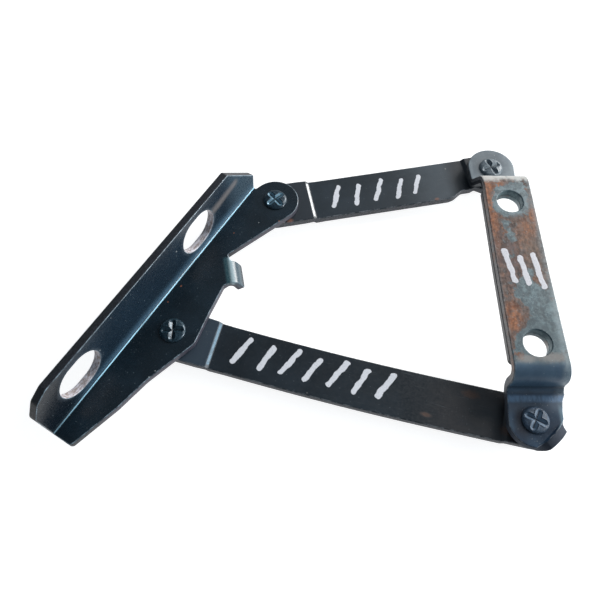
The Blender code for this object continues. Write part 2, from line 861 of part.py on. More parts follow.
def groove_cutter(centre, degrees, depth):
    """A triangular prism whose lower edge is the floor of a groove."""
    solid = bmesh.new()
    angle = math.radians(degrees)
    along = Vector((math.cos(angle), 0, math.sin(angle)))
    across = Vector((-math.sin(angle), 0, math.cos(angle))) * GROOVE_HALF_WIDTH
    top = Vector((0, HEAD_TOP_Y - GROOVE_ABOVE, 0))
    floor = Vector((0, HEAD_TOP_Y + depth, 0))
    middle = Vector((centre[0], 0, centre[1]))
    ends = []
    for sign in (-1, 1):
        tip = middle + along * GROOVE_HALF * sign
        low = middle + along * (GROOVE_HALF - GROOVE_END_SLOPE) * sign
        corners = (tip + across + top, tip - across + top, low + floor)
        ends.append([solid.verts.new(corner) for corner in corners])
    first, second = ends
    solid.faces.new(first)
    solid.faces.new(second[::-1])
    for i in range(3):
        j = (i + 1) % 3
        solid.faces.new((first[i], second[i], second[j], first[j]))
    return solid


def add_rivet(name, profile, centre, parent, finishes, cross_angle=None):
    """A rivet. With a cross angle, in degrees, its near head gets a staked cross."""
    solid = turned(profile, centre, RIVET_SEGMENTS)
    made = add_node(name, solid, finishes["painted_rivet"], parent)
    if cross_angle is None:
        return
    for quarter, depth in GROOVE_DEPTHS.items():
        cutter = add_helper(
            f"cutter_{name}_{quarter}",
            groove_cutter(centre, cross_angle + quarter, depth),
            finishes["bare_steel"],
            parent,
        )
        add_boolean(made, "Groove " + cutter.name, "DIFFERENCE", cutter)


def add_pivot(label, centre, bracket_pivot, link_pivot, finishes, cross_angle, split=False):
    """Rivet, thrust washer, bush and back washer of one pivot.

    A split rivet is in two pieces: the head goes with the bracket, and the tail and
    the back washer go with the link.
    """
    # name, bore radius, outer radius, near Y, far Y, finish, parent
    rings = (
        ("thrust_washer", WASHER_BORE_R, WASHER_R, PLATE_FAR_Y + CLEAR,
         PLATE_FAR_Y + WASHER_T, "sintered_bronze", bracket_pivot),
        ("bush", BUSH_BORE_R, BUSH_R, LINK_END_Y + CLEAR,
         LINK_END_Y + LINK_T - CLEAR, "sintered_bronze", link_pivot),
        ("back_washer", WASHER_BORE_R, BACK_WASHER_R, BACK_WASHER_Y,
         BACK_WASHER_Y + BACK_WASHER_T, "bare_steel", link_pivot if split else bracket_pivot),
    )
    for name, bore, outer, near_y, far_y, finish, parent in rings:
        solid = tube(centre, bore, outer, near_y, far_y)
        add_node(f"{name}_{label}", solid, finishes[finish], parent)
    rivet = f"rivet_{label}"
    if not split:
        profile = HEAD_PROFILE + TAIL_PROFILE
        add_rivet(rivet, profile, centre, bracket_pivot, finishes, cross_angle)
        return
    head_end, tail_start = SPLIT_Y - CLEAR, SPLIT_Y + CLEAR
    head = HEAD_PROFILE + [(SHANK_R, head_end), (0.0, head_end)]
    tail = [(0.0, tail_start), (SHANK_R, tail_start)] + TAIL_PROFILE
    add_rivet(rivet + "_head", head, centre, bracket_pivot, finishes, cross_angle)
    add_rivet(rivet + "_tail", tail, centre, link_pivot, finishes)


# ------------------------------------------------------------------- assembly


def main():
    clear_scene()
    finishes = {name: material(name, **settings) for name, settings in FINISHES.items()}

    body = pivot_empty("body", BODY_FRONT)
    front_pivot = pivot_empty("front_link_pivot", BODY_FRONT, body)
    rear_pivot = pivot_empty("rear_link_pivot", BODY_REAR, body)
    bonnet_pivot = pivot_empty("bonnet_pivot", BONNET_FRONT, front_pivot)

    add_body_bracket(finishes["worn_blue_grey_paint"], body)
    add_node("bonnet_bracket", bonnet_bracket(), finishes["dark_gloss_paint"], bonnet_pivot)
    front_link = link(BONNET_FRONT, BODY_FRONT, half_width=10.0, bow=1.5)
    add_node("front_link", front_link, finishes["dark_satin_paint"], front_pivot)
    rear_link = link(BONNET_REAR, BODY_REAR, half_width=10.25, relieved=True)
    add_node("rear_link", rear_link, finishes["dark_satin_paint"], rear_pivot)

    # label, centre, parent on the bracket side, parent on the link side, cross angle, split
    pivots = (
        ("body_front", BODY_FRONT, body, front_pivot, 62, False),
        ("body_rear", BODY_REAR, body, rear_pivot, 25, False),
        ("bonnet_front", BONNET_FRONT, bonnet_pivot, front_pivot, 2, False),
        ("bonnet_rear", BONNET_REAR, bonnet_pivot, rear_pivot, 45, True),
    )
    for label, centre, bracket_side, link_side, cross_angle, split in pivots:
        add_pivot(label, centre, bracket_side, link_side, finishes, cross_angle, split)


main()
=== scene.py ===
"""Bonnet hinge: a body bracket below and a bonnet bracket above, joined by two links.

Z is up, X runs to the rear of the car and the pivots turn about lines along Y. The near
side faces -Y. Sizes are in millimetres, and each mesh is scaled to metres as it is linked.
"""

import math

import bmesh
import bpy
from mathutils import Matrix, Vector
from mathutils.geometry import delaunay_2d_cdt


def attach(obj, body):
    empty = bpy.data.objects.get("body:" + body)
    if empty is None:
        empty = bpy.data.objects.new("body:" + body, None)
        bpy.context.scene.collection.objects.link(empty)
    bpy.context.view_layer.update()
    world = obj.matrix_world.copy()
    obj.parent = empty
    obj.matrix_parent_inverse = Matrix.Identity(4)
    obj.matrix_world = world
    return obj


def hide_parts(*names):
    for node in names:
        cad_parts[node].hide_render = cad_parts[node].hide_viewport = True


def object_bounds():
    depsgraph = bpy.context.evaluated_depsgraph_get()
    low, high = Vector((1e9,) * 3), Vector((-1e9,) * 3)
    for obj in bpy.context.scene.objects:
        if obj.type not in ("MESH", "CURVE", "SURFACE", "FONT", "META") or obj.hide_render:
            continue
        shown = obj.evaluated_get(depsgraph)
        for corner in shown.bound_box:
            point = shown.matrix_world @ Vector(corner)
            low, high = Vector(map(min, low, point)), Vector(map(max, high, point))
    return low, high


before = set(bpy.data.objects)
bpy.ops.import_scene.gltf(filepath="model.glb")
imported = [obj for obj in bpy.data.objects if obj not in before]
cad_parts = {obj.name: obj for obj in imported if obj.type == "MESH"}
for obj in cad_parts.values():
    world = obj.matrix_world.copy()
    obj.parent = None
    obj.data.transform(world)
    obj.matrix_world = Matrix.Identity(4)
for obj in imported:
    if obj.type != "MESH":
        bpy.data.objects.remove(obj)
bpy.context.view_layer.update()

MM = 0.001
DETAIL = 0.4  # scale on the angle between the points of an arc
EDGE_STEPS = 5  # facets across a rounded edge
CUTS = 16  # facets along a fold or joggle
STEP_CUTS = 14  # facets along each bend of a step

# Pivot centres in the XZ plane
BODY_Z = 1.2
BODY_FRONT = (-59.3, BODY_Z)
BODY_REAR = (59.3, BODY_Z)
BONNET_REAR = (39.9, BODY_Z + 99.5)
BONNET_FRONT = (-23.9, BODY_Z + 139.1)
BODY_SPAN = BODY_REAR[0] - BODY_FRONT[0]

# Stack along Y at a pivot. The near faces of the brackets lie in one plane there.
CLEAR = 0.05
PLATE_Y = 11.5
PLATE_T = 3.5
WASHER_T = 0.7
LINK_T = 3.5
LINK_END_Y = PLATE_Y + PLATE_T + 0.8  # near face of a link at its pivots
FAR_WASHER_Y = LINK_END_Y + LINK_T + 0.1
FAR_WASHER_T = 1.0
HEAD_Y = PLATE_Y - CLEAR
TAIL_Y = FAR_WASHER_Y + FAR_WASHER_T + CLEAR
SPLIT_Y = PLATE_Y + PLATE_T + 0.75  # where the rear bonnet rivet is parted

SHANK_R = 4.0
PLATE_HOLE_R = 4.1
BUSH_IN_R = 4.15
WASHER_IN_R = 4.2
BUSH_R = 5.0
LINK_HOLE_R = 5.1
WASHER_R = 8.0
FAR_WASHER_R = WASHER_R - 0.4
EDGE_R = 0.45  # rounding of the sheared edges
ROLL_R = 0.8  # rounding on the far side of the bonnet bracket
TUBE_EDGE_R = 0.18  # rounding of washers and bushes

# Bonnet bracket, in its own frame: s from rear to front pivot, b toward the flange,
# c toward -Y. The flange leans out a little.
FLANGE_IN_B = 11.95  # where the flange's inner face would meet the web
FLANGE_H = 24.0
FOLD_R = 1.0
FOLD_ANGLE = math.radians(87.5)
FOLD_MID_R = FOLD_R + PLATE_T / 2
FOLD_LENGTH = FOLD_MID_R * FOLD_ANGLE
FOLD_START = FLANGE_IN_B - FOLD_R * math.tan(FOLD_ANGLE / 2)  # on the flat blank
FLANGE_START = FOLD_START + FOLD_LENGTH
LOBE_R = 10.4
END_S = 131.2
SLOT = (19.8, 16.5)
SLOTS = ((37.4, 12.4), (109.6, 12.1))  # centres: s, height on the flange

# Closing stop: a tab bent to the far side out of the edge of the bonnet bracket
STOP_AT = (36.3, -1.7)
STOP_AXIS = (0.742, -0.670)
STOP_OUT = (-0.670, -0.742)
STOP_START = -1.9
STOP_R = 1.3
STOP_ANGLE = math.radians(65)
STOP_MID_R = STOP_R + PLATE_T / 2
STOP_LENGTH = STOP_MID_R * STOP_ANGLE
STOP_FLAT = 3.4
STOP_ROOT = (-3.3, -0.9)  # the bend grows from none to full between these, along the axis
STOP_REACH = (-6.0, 12.5)  # part of the axis that the bend may move
STOP_TOP = 6.0  # nothing above this b is moved

# Body bracket: x from the front to the rear pivot, y up from the pivot line
CROWN_X = (18.2, 102.2)
FOOT_X = (10.4, 113.6)
EAR_R = 10.5
BODY_HOLE_R = 5.5
BODY_HOLES = ((26.6, -1.3), (91.8, -1.0))
STEP_MID_R = 2.5 + PLATE_T / 2
# Edge corners: finished x, y, rounding
BODY_TOP = (
    (113.0, 9.9, 3.0), (100.0, 9.0, 6.0), (60.0, 9.3, 30.0),
    (18.0, 9.1, 6.0), (9.0, 9.3, 3.0), (4.5, 9.9, 3.0),
)
BODY_BOTTOM = (
    (-1.0, -10.8, 1.2), (3.5, -11.1, 3.0), (7.6, -11.9, 2.0), (10.0, -13.1, 1.5),
    (13.5, -13.0, 3.0), (20.0, -12.3, 6.0), (60.0, -11.4, 40.0), (97.0, -11.0, 10.0),
    (112.0, -10.6, 5.0),
)

# Lip at the lower front corner of the front ear, turned to the near side
LIP_LINE = 6.8
LIP_DIR = (-0.75, -0.661)
LIP_MID_R = 0.6 + PLATE_T / 2
LIP_ANGLE = math.radians(76)
LIP_LENGTH = LIP_MID_R * LIP_ANGLE
LIP_OUT = 11.4
LIP_END_X = 4  # only the ear in front of this is folded

# Backing plate on the far side of the crown
BACK_X = (19.6, 100.4)
BACK_Y = (3.0, 6.0)
BACK_HOLE_R = 5.4

# Links, in their own frame: x from bonnet to body pivot, y toward the front of the car
JOGGLE = 1.2  # the middle of a link lies this much further back
JOGGLE_RUN = 1.9
JOGGLE_START = 17.6 - JOGGLE_RUN  # from the bonnet pivot
JOGGLE_END = 10.3  # before the body pivot
LINK_OFFSET = -0.75  # centre line from the line between the pivots
LINK_SWELL = 0.45  # extra half width at the bonnet end
LINK_STATIONS = 24
FRONT_HALF = 10.0
FRONT_BOW = 1.5
REAR_HALF = 10.25
RELIEF = 3.4  # depth of the cut-back in the rear link's front edge

HEAD_R = 5.2
HEAD_TOP = HEAD_Y - 1.35
HEAD_RINGS = 52
RIVET_SEGMENTS = 144
ROUND_SEGMENTS = 96
TAIL_R = 6.6
TAIL_H = 2.2
# Near head: radius, drop from the top
HEAD_DOME = (
    (0.0, 0.0), (1.7, 0.03), (3.2, 0.13), (4.2, 0.33), (4.75, 0.58), (5.05, 0.85), (HEAD_R, 1.12),
)


# ------------------------------------------------------------- plane geometry


def distance(start, end):
    return math.hypot(end[0] - start[0], end[1] - start[1])


def smooth_step(t):
    t = min(max(t, 0.0), 1.0)
    return t * t * (3 - 2 * t)


def arc(centre, radius, start, end, most=9.0):
    """Points on an arc, angles in degrees, both ends included."""
    count = max(2, int(math.ceil(abs(end - start) / (most * DETAIL))) + 1)
    angles = [math.radians(start + (end - start) * i / (count - 1)) for i in range(count)]
    return [
        (centre[0] + radius * math.cos(a), centre[1] + radius * math.sin(a)) for a in angles
    ]


def round_hole(centre, radius, step=7.5):
    return arc(centre, radius, 0, 360 - step, step / DETAIL)


def obround(centre, length, width):
    radius = width / 2
    half = length / 2 - radius
    right = arc((centre[0] + half, centre[1]), radius, -90, 90, 12.0)
    left = arc((centre[0] - half, centre[1]), radius, 90, 270, 12.0)
    return right + left


def rounded(corners, most=12.0):
    """An outline from (x, y, radius) corners, each corner with a radius made an arc."""
    points = []
    for i, (x, y, radius) in enumerate(corners):
        if radius <= 0:
            points.append((x, y))
            continue
        here = Vector((x, y))
        before = (Vector(corners[i - 1][:2]) - here).normalized()
        after = (Vector(corners[(i + 1) % len(corners)][:2]) - here).normalized()
        half = before.angle(after) / 2
        reach = radius / math.tan(half)
        centre = here + (before + after).normalized() * (radius / math.sin(half))
        first = here + before * reach - centre
        last = here + after * reach - centre
        start = math.atan2(first.y, first.x)
        turn = math.atan2(first.cross(last), first.dot(last))
        steps = max(2, int(math.ceil(math.degrees(abs(turn)) / (most * DETAIL))) + 1)
        for k in range(steps):
            a = start + turn * k / (steps - 1)
            points.append((centre.x + radius * math.cos(a), centre.y + radius * math.sin(a)))
    return points


def area(points):
    pairs = zip(points, points[1:] + points[:1])
    return sum(x0 * y1 - x1 * y0 for (x0, y0), (x1, y1) in pairs) / 2


def tidy(points, anticlockwise, least=0.02):
    """The loop without points closer than least, run the given way round."""
    kept = []
    for point in points:
        if not kept or distance(kept[-1], point) > least:
            kept.append(point)
    if distance(kept[-1], kept[0]) <= least:
        kept.pop()
    if (area(kept) > 0) != anticlockwise:
        kept.reverse()
    return kept


def moved_in(points, amount):
    """The outline moved to its left by amount, vertex by vertex."""
    out = []
    for i, point in enumerate(points):
        here = Vector(point)
        back = (here - Vector(points[i - 1])).normalized()
        ahead = (Vector(points[(i + 1) % len(points)]) - here).normalized()
        back_normal = Vector((-back.y, back.x))
        mean = back_normal + Vector((-ahead.y, ahead.x))
        mean = mean / max(mean.dot(back_normal), 0.35)
        out.append(tuple(here + mean * amount))
    return out


def inside(point, loop):
    x, y = point
    found = False
    for (x0, y0), (x1, y1) in zip(loop, loop[1:] + loop[:1]):
        if (y0 > y) != (y1 > y) and x < x0 + (y - y0) * (x1 - x0) / (y1 - y0):
            found = not found
    return found


def cap(loops):
    """Triangles over the area between an outer loop and its holes."""
    points, edges = [], []
    for loop in loops:
        first = len(points)
        points += [Vector(p) for p in loop]
        edges += [(first + i, first + (i + 1) % len(loop)) for i in range(len(loop))]
    made, _, faces, origins, _, _ = delaunay_2d_cdt(points, edges, [], 1, 1e-7)
    index = [group[0] for group in origins]
    kept = []
    for face in faces:
        middle = sum((made[i] for i in face), Vector((0, 0))) / 3
        if inside(middle, loops[0]) and not any(inside(middle, h) for h in loops[1:]):
            kept.append([index[i] for i in face])
    return kept


# -------------------------------------------------------------- sheet working


def edge_profile(radius, face, way):
    """Quarter round from a face: (inset, height, share of the way to the wall)."""
    profile = []
    for k in range(EDGE_STEPS + 1):
        a = math.radians(90 * k / EDGE_STEPS)
        height = face + way * radius * (1 - math.cos(a))
        profile.append((radius * (1 - math.sin(a)), height, k / EDGE_STEPS))
    return profile


def flat_plate(outer, holes, near, far, far_edge=EDGE_R):
    """A flat solid between heights far and near, with rounded edges on every outline.

    Two layers ride along for the materials: "flat", the place on the flat blank in
    mm, and "edge", 0 on the faces and 1 on the sheared walls.
    """
    loops = [tidy(outer, True)] + [tidy(hole, False) for hole in holes]
    top, low = near - EDGE_R, far + far_edge
    profile = edge_profile(EDGE_R, near, -1)
    profile += [(0.0, top + (low - top) * k / 4, 1.0) for k in range(1, 4)]
    profile += edge_profile(far_edge, far, 1)[::-1]
    levels = [[moved_in(loop, inset) for loop in loops] for inset, _, _ in profile]
    bm = bmesh.new()
    flat = bm.verts.layers.float_vector.new("flat")
    edge = bm.verts.layers.float.new("edge")
    table = []
    for level, (_, height, share) in zip(levels, profile):
        layer = []
        for loop in level:
            made = []
            for x, y in loop:
                v = bm.verts.new((x, y, height))
                v[flat] = (x, y, height)
                v[edge] = share
                made.append(v)
            layer.append(made)
        table.append(layer)
    for upper, lower in zip(table, table[1:]):
        for a, b in zip(upper, lower):
            for i in range(len(a)):
                j = (i + 1) % len(a)
                bm.faces.new((a[i], b[i], b[j], a[j]))
    for layer, level, flip in ((table[0], levels[0], False), (table[-1], levels[-1], True)):
        verts = [v for loop in layer for v in loop]
        for face in cap(level):
            corners = [verts[i] for i in face]
            bm.faces.new(corners[::-1] if flip else corners)
    return bm


def cut_across(bm, origin, normal, wanted=None):
    """Adds edges where a plane crosses the mesh, or only the faces with a wanted vertex."""
    verts, edges, faces = bm.verts, bm.edges, bm.faces
    if wanted:
        faces = [f for f in bm.faces if any(wanted(v.co) for v in f.verts)]
        edges = {e for f in faces for e in f.edges}
        verts = {v for f in faces for v in f.verts}
    bmesh.ops.bisect_plane(
        bm, geom=[*verts, *edges, *faces], dist=1e-6, plane_co=origin, plane_no=normal
    )


def finish_sheet(bm, frame):
    """Cleans up a sheet and sets it in its place on the hinge."""
    bmesh.ops.triangulate(bm, faces=[f for f in bm.faces if len(f.verts) > 4])
    bmesh.ops.dissolve_degenerate(bm, dist=1e-5, edges=bm.edges)
    bmesh.ops.transform(bm, matrix=frame, verts=bm.verts)
    return bm


def frame_between(start, end, depth):
    """x from one pivot to the other, z of the mesh toward -Y, z = 0 at the given Y."""
    along = Vector((end[0] - start[0], 0, end[1] - start[1])).normalized()
    side = Vector((along.z, 0, -along.x))
    axes = Matrix((along, side, Vector((0, -1, 0)))).transposed().to_4x4()
    return Matrix.Translation((start[0], depth, start[1])) @ axes


def body_frame(depth):
    """x to the rear, y up and z toward -Y, from the front body pivot."""
    x, z = BODY_FRONT
    return Matrix(((1, 0, 0, x), (0, 0, -1, depth), (0, 1, 0, z), (0, 0, 0, 1)))


# ------------------------------------------------------------- bonnet bracket


def flange_y(height):
    """Flat-pattern coordinate of a height on the inner face of the flange."""
    rest = (height - FOLD_R * (1 - math.cos(FOLD_ANGLE))) / math.sin(FOLD_ANGLE)
    return FLANGE_START + rest


def stop_to_flat(along, out):
    return (
        STOP_AT[0] + STOP_AXIS[0] * along + STOP_OUT[0] * out,
        STOP_AT[1] + STOP_AXIS[1] * along + STOP_OUT[1] * out,
    )


def bonnet_outline():
    """The flat blank. Each table holds place and rounding."""
    tab_end = STOP_START + STOP_LENGTH + STOP_FLAT
    flange = (  # s, height on the flange, rounding
        (-1.75, 7.2, 1.2), (14.6, FLANGE_H, 1.2), (121.5, FLANGE_H, 3.0),
        (127.0, 21.6, 3.0), (END_S, 15.6, 3.0),
    )
    web = (  # s, b, rounding
        (END_S, 3.6, 1.6), (111.0, -1.7, 14.0), (97.0, -4.1, 14.0), (84.0, -7.9, 8.0),
        (75.0, -10.6, 7.0), (60.5, -7.6, 10.0), (47.8, -5.5, 1.8),
    )
    tab = (  # along the stop's axis, out from it, rounding
        (10.0, -2.7, 1.2), (10.6, tab_end, 1.1), (-0.6, tab_end, 1.1),
        (-0.6, -0.9, 0.5), (-3.7, -1.1, 0.9),
    )
    corners = [(x, y, 0) for x, y in arc((0, 0), LOBE_R, -72, -254, 8.0)]
    corners.append((-0.5, FOLD_START - 0.2, 0.6))
    corners += [(s, flange_y(height), radius) for s, height, radius in flange]
    corners += web
    corners += [(*stop_to_flat(along, out), radius) for along, out, radius in tab]
    return rounded(corners)


def fold_flange(bm):
    for k in range(CUTS + 1):
        cut_across(bm, (0, FOLD_START + FOLD_LENGTH * k / CUTS, 0), (0, 1, 0))
    for v in bm.verts:
        s, y, c = v.co
        if y <= FOLD_START + 1e-6:
            continue
        turn = min((y - FOLD_START) / FOLD_MID_R, FOLD_ANGLE)
        radius = FOLD_R - c
        rest = max(0.0, y - FOLD_START - FOLD_LENGTH)
        v.co = (
            s,
            FOLD_START + radius * math.sin(turn) + rest * math.cos(FOLD_ANGLE),
            FOLD_R - radius * math.cos(turn) + rest * math.sin(FOLD_ANGLE),
        )


def fold_stop(bm):
    """Bends the stop tab away from the near side."""
    axis, out, at = Vector(STOP_AXIS), Vector(STOP_OUT), Vector(STOP_AT)

    def local(place):
        offset = Vector(place[:2]) - at
        return offset.dot(axis), offset.dot(out)

    def in_tab(place):
        along, away = local(place)
        in_reach = STOP_REACH[0] < along < STOP_REACH[1]
        return in_reach and away > STOP_START - 0.2 and place[1] < STOP_TOP

    for k in range(CUTS + 1):
        origin = at + out * (STOP_START + STOP_LENGTH * k / CUTS)
        cut_across(bm, (*origin, 0), (*out, 0), in_tab)
    for v in bm.verts:
        along, away = local(v.co)
        past = away - STOP_START
        past *= smooth_step((along - STOP_ROOT[0]) / (STOP_ROOT[1] - STOP_ROOT[0]))
        in_reach = STOP_REACH[0] < along < STOP_REACH[1]
        if not in_reach or past <= 1e-6 or v.co.y > STOP_TOP:
            continue
        shift = away - STOP_START - past
        turn = min(past / STOP_MID_R, STOP_ANGLE)
        rest = max(0.0, past - STOP_LENGTH)
        # The centre of the bend lies behind the plate.
        radius = STOP_R + PLATE_T + v.co.z
        away = STOP_START + shift + radius * math.sin(turn) + rest * math.cos(turn)
        height = -(STOP_R + PLATE_T) + radius * math.cos(turn) - rest * math.sin(turn)
        v.co = (*(at + axis * along + out * away), height)


def bonnet_bracket():
    span = distance(BONNET_REAR, BONNET_FRONT)
    holes = [round_hole((x, 0), PLATE_HOLE_R) for x in (0, span)]
    holes += [obround((s, flange_y(height)), *SLOT) for s, height in SLOTS]
    bm = flat_plate(bonnet_outline(), holes, 0.0, -PLATE_T, ROLL_R)
    fold_stop(bm)
    fold_flange(bm)
    return finish_sheet(bm, frame_between(BONNET_REAR, BONNET_FRONT, PLATE_Y))


# --------------------------------------------------------------- body bracket


class Step:
    """A step of the sheet by PLATE_Y: a bend, a straight and a bend back.

    start and end are the finished x of its theoretical corners.
    """

    def __init__(self, start, end, sign):
        run = end - start
        low, high = 0.01, math.radians(89)
        for _ in range(60):
            angle = (low + high) / 2
            left = run - 2 * STEP_MID_R * math.tan(angle / 2)
            if left * math.tan(angle) > PLATE_Y:
                high = angle
            else:
                low = angle
        self.angle = angle = (low + high) / 2
        rise = 2 * STEP_MID_R * (1 - math.cos(angle))
        self.straight = (PLATE_Y - rise) / math.sin(angle)
        self.plan = 2 * STEP_MID_R * math.sin(angle) + self.straight * math.cos(angle)
        self.bend = STEP_MID_R * angle
        self.flat = 2 * STEP_MID_R * angle + self.straight
        self.extra = self.flat - self.plan  # flat length beyond the finished run
        self.begin = start + (run - self.plan) / 2
        self.middle = start + run / 2
        self.sign = sign


STEPS = (Step(FOOT_X[0], CROWN_X[0], 1), Step(CROWN_X[1], FOOT_X[1], -1))
FIRST_EXTRA = STEPS[0].extra


def stretch(x):
    """Flat coordinate of a finished x."""
    return x + sum(step.extra for step in STEPS if x > step.middle)


def bend_steps(bm):
    """Steps the flat strip along x. Points keep their distance from the mid-surface."""
    starts = []
    flat_x = bent_x = 0.0
    for step in STEPS:
        flat_x += step.begin - bent_x
        starts.append(flat_x)
        flat_x += step.flat
        bent_x = step.begin + step.plan
    for start, step in zip(starts, STEPS):
        for k in range(STEP_CUTS + 1):
            part = step.bend * k / STEP_CUTS
            for x in (start + part, start + step.bend + step.straight + part):
                cut_across(bm, (x, 0, 0), (1, 0, 0))

    def bent(x):
        """(x, height, slope angle) of the mid-surface at a flat coordinate."""
        along = up = done = 0.0
        for start, step in zip(starts, STEPS):
            if x <= start:
                break
            past, angle = x - start, step.angle
            first = min(past / STEP_MID_R, angle)
            straight = min(max(past - step.bend, 0.0), step.straight)
            last = min(max(past - step.bend - step.straight, 0.0) / STEP_MID_R, angle)
            along = step.begin + STEP_MID_R * math.sin(first) + straight * math.cos(angle)
            along += STEP_MID_R * (math.sin(angle) - math.sin(angle - last))
            up += step.sign * STEP_MID_R * (1 - math.cos(first))
            up += step.sign * straight * math.sin(angle)
            up += step.sign * STEP_MID_R * (math.cos(angle - last) - math.cos(angle))
            done = start + step.flat
            if x <= done:
                return along, up, step.sign * (first - last)
        return along + (x - done), up, 0.0

    for v in bm.verts:
        x, y, z = v.co
        along, up, tilt = bent(x)
        v.co = (along - z * math.sin(tilt), y, up + z * math.cos(tilt))


def body_outline():
    """The strip before it is stepped."""
    corners = arc((stretch(BODY_SPAN), -0.3), EAR_R + 0.2, -84, 84, 8.0)
    corners = [(x, y, 0) for x, y in corners]
    corners += [(stretch(x), y, radius) for x, y, radius in BODY_TOP]
    front = arc((0, 0), EAR_R, 100, 186, 8.0) + arc((0, 0), LIP_OUT, 200, 252, 7.0)
    corners += [(x, y, 0) for x, y in front]
    corners += [(stretch(x), y, radius) for x, y, radius in BODY_BOTTOM]
    return rounded(corners)


def fold_lip(bm):
    out = Vector(LIP_DIR).normalized()
    for k in range(CUTS + 1):
        origin = out * (LIP_LINE + LIP_LENGTH * k / CUTS)
        cut_across(bm, (*origin, 0), (*out, 0), lambda place: place.x < LIP_END_X)
    for v in bm.verts:
        flat = Vector(v.co[:2])
        past = flat.dot(out) - LIP_LINE
        if past <= 1e-6 or v.co.x > LIP_END_X:
            continue
        turn = min(past / LIP_MID_R, LIP_ANGLE)
        rest = max(0.0, past - LIP_LENGTH)
        radius = LIP_MID_R - v.co.z
        away = radius * math.sin(turn) + rest * math.cos(turn)
        height = LIP_MID_R - radius * math.cos(turn) + rest * math.sin(turn)
        v.co = (*(flat - out * past + out * away), height)


def body_bracket():
    holes = [round_hole((stretch(x), 0), PLATE_HOLE_R) for x in (0, BODY_SPAN)]
    holes += [round_hole((stretch(x), y), BODY_HOLE_R, step=5.0) for x, y in BODY_HOLES]
    bm = flat_plate(body_outline(), holes, PLATE_T / 2, -PLATE_T / 2)
    fold_lip(bm)
    bend_steps(bm)
    return finish_sheet(bm, body_frame(PLATE_Y + PLATE_T / 2))


def back_plate():
    start, end = BACK_X
    outline = rounded([
        (end, 9.2, 2.0), (60.0, 9.5, 30.0), (start, 9.3, 2.0),
        (start, -11.2, 2.0), (60.0, -10.5, 40.0), (end, -10.1, 2.0),
    ])
    holes = [round_hole(centre, BACK_HOLE_R, step=5.0) for centre in BODY_HOLES]
    return finish_sheet(flat_plate(outline, holes, -BACK_Y[0], -BACK_Y[1]), body_frame(0))


# ---------------------------------------------------------------------- links


def link(start, end, front):
    """A flat link with both ends joggled toward the brackets. The front one is bowed."""
    span = distance(start, end)
    half, bow = (FRONT_HALF, FRONT_BOW) if front else (REAR_HALF, 0.0)

    def middle(x):
        return LINK_OFFSET + bow * math.sin(math.pi * min(max(x / span, 0), 1))

    front_edge, rear_edge = [], []
    for i in range(LINK_STATIONS + 1):
        x = span * i / LINK_STATIONS
        wide = half + LINK_SWELL * max(0.0, 1 - max(0.0, x - 12) / 8)
        front_edge.append((x, middle(x) + wide))
        rear_edge.append((x, middle(x) - wide))
    if front:
        end_angle = 90
        front_edge.pop()
    else:
        # Relief in the front edge, beside the rear body pivot
        end_angle = 126
        y = middle(span) + half
        front_edge = [p for p in front_edge if p[0] < span - 22]
        front_edge += rounded(
            [
                (span - 21.5, y, 0), (span - 19.0, y - 0.6, 3),
                (span - 14.5, y - RELIEF, 3), (span - 8.0, y - RELIEF, 0),
            ],
            most=15.0,
        )
    outline = arc((0, middle(0)), half + LINK_SWELL, 90, 270)
    outline += rear_edge[1:-1] + arc((span, middle(span)), half, -90, end_angle)
    outline += reversed(front_edge[1:])
    holes = [round_hole((x, 0), LINK_HOLE_R) for x in (0, span)]
    bm = flat_plate(outline, holes, LINK_T / 2, -LINK_T / 2)
    joggles = (JOGGLE_START, span - JOGGLE_END)
    for x in joggles:
        for k in range(CUTS + 1):
            cut_across(bm, (x + JOGGLE_RUN * k / CUTS, 0, 0), (1, 0, 0))
    for v in bm.verts:
        down, up = (smooth_step((v.co.x - x) / JOGGLE_RUN) for x in joggles)
        v.co.z -= JOGGLE * (down - up)
    return finish_sheet(bm, frame_between(start, end, LINK_END_Y + LINK_T / 2))


# --------------------------------------------------- rivets, washers, bushes


def circle_angles(segments):
    return [2 * math.pi * k / segments for k in range(segments)]


def ring(bm, centre, radius, y, segments):
    """A ring of vertices about a line along Y, or one vertex on the line."""
    if radius < 1e-6:
        return [bm.verts.new((centre[0], y, centre[1]))]
    return [
        bm.verts.new((centre[0] + radius * math.cos(a), y, centre[1] + radius * math.sin(a)))
        for a in circle_angles(segments)
    ]


def join_rings(bm, rings):
    for a, b in zip(rings, rings[1:]):
        count = max(len(a), len(b))
        if count == 1:
            continue
        for k in range(count):
            j = (k + 1) % count
            if len(a) == 1:
                bm.faces.new((a[0], b[k], b[j]))
            elif len(b) == 1:
                bm.faces.new((a[k], b[0], a[j]))
            else:
                bm.faces.new((a[k], b[k], b[j], a[j]))


def turned(profile, centre):
    """A solid of revolution from a closed profile of (radius, y)."""
    bm = bmesh.new()
    rings = [ring(bm, centre, radius, y, ROUND_SEGMENTS) for radius, y in profile]
    join_rings(bm, rings + rings[:1])
    return bm


def round_tube(centre, inner, outer, y0, y1):
    """A washer or bush with rounded edges."""
    profile = []
    corners = ((outer, y0, -1, 1), (outer, y1, -1, -1), (inner, y1, 1, -1), (inner, y0, 1, 1))
    for radius, y, way_r, way_y in corners:
        part = []
        for k in range(4):
            a = math.radians(30 * k)
            part.append((
                radius + way_r * TUBE_EDGE_R * (1 - math.sin(a)),
                y + way_y * TUBE_EDGE_R * (1 - math.cos(a)),
            ))
        profile += part[::-1] if way_r == way_y else part
    return turned(profile, centre)


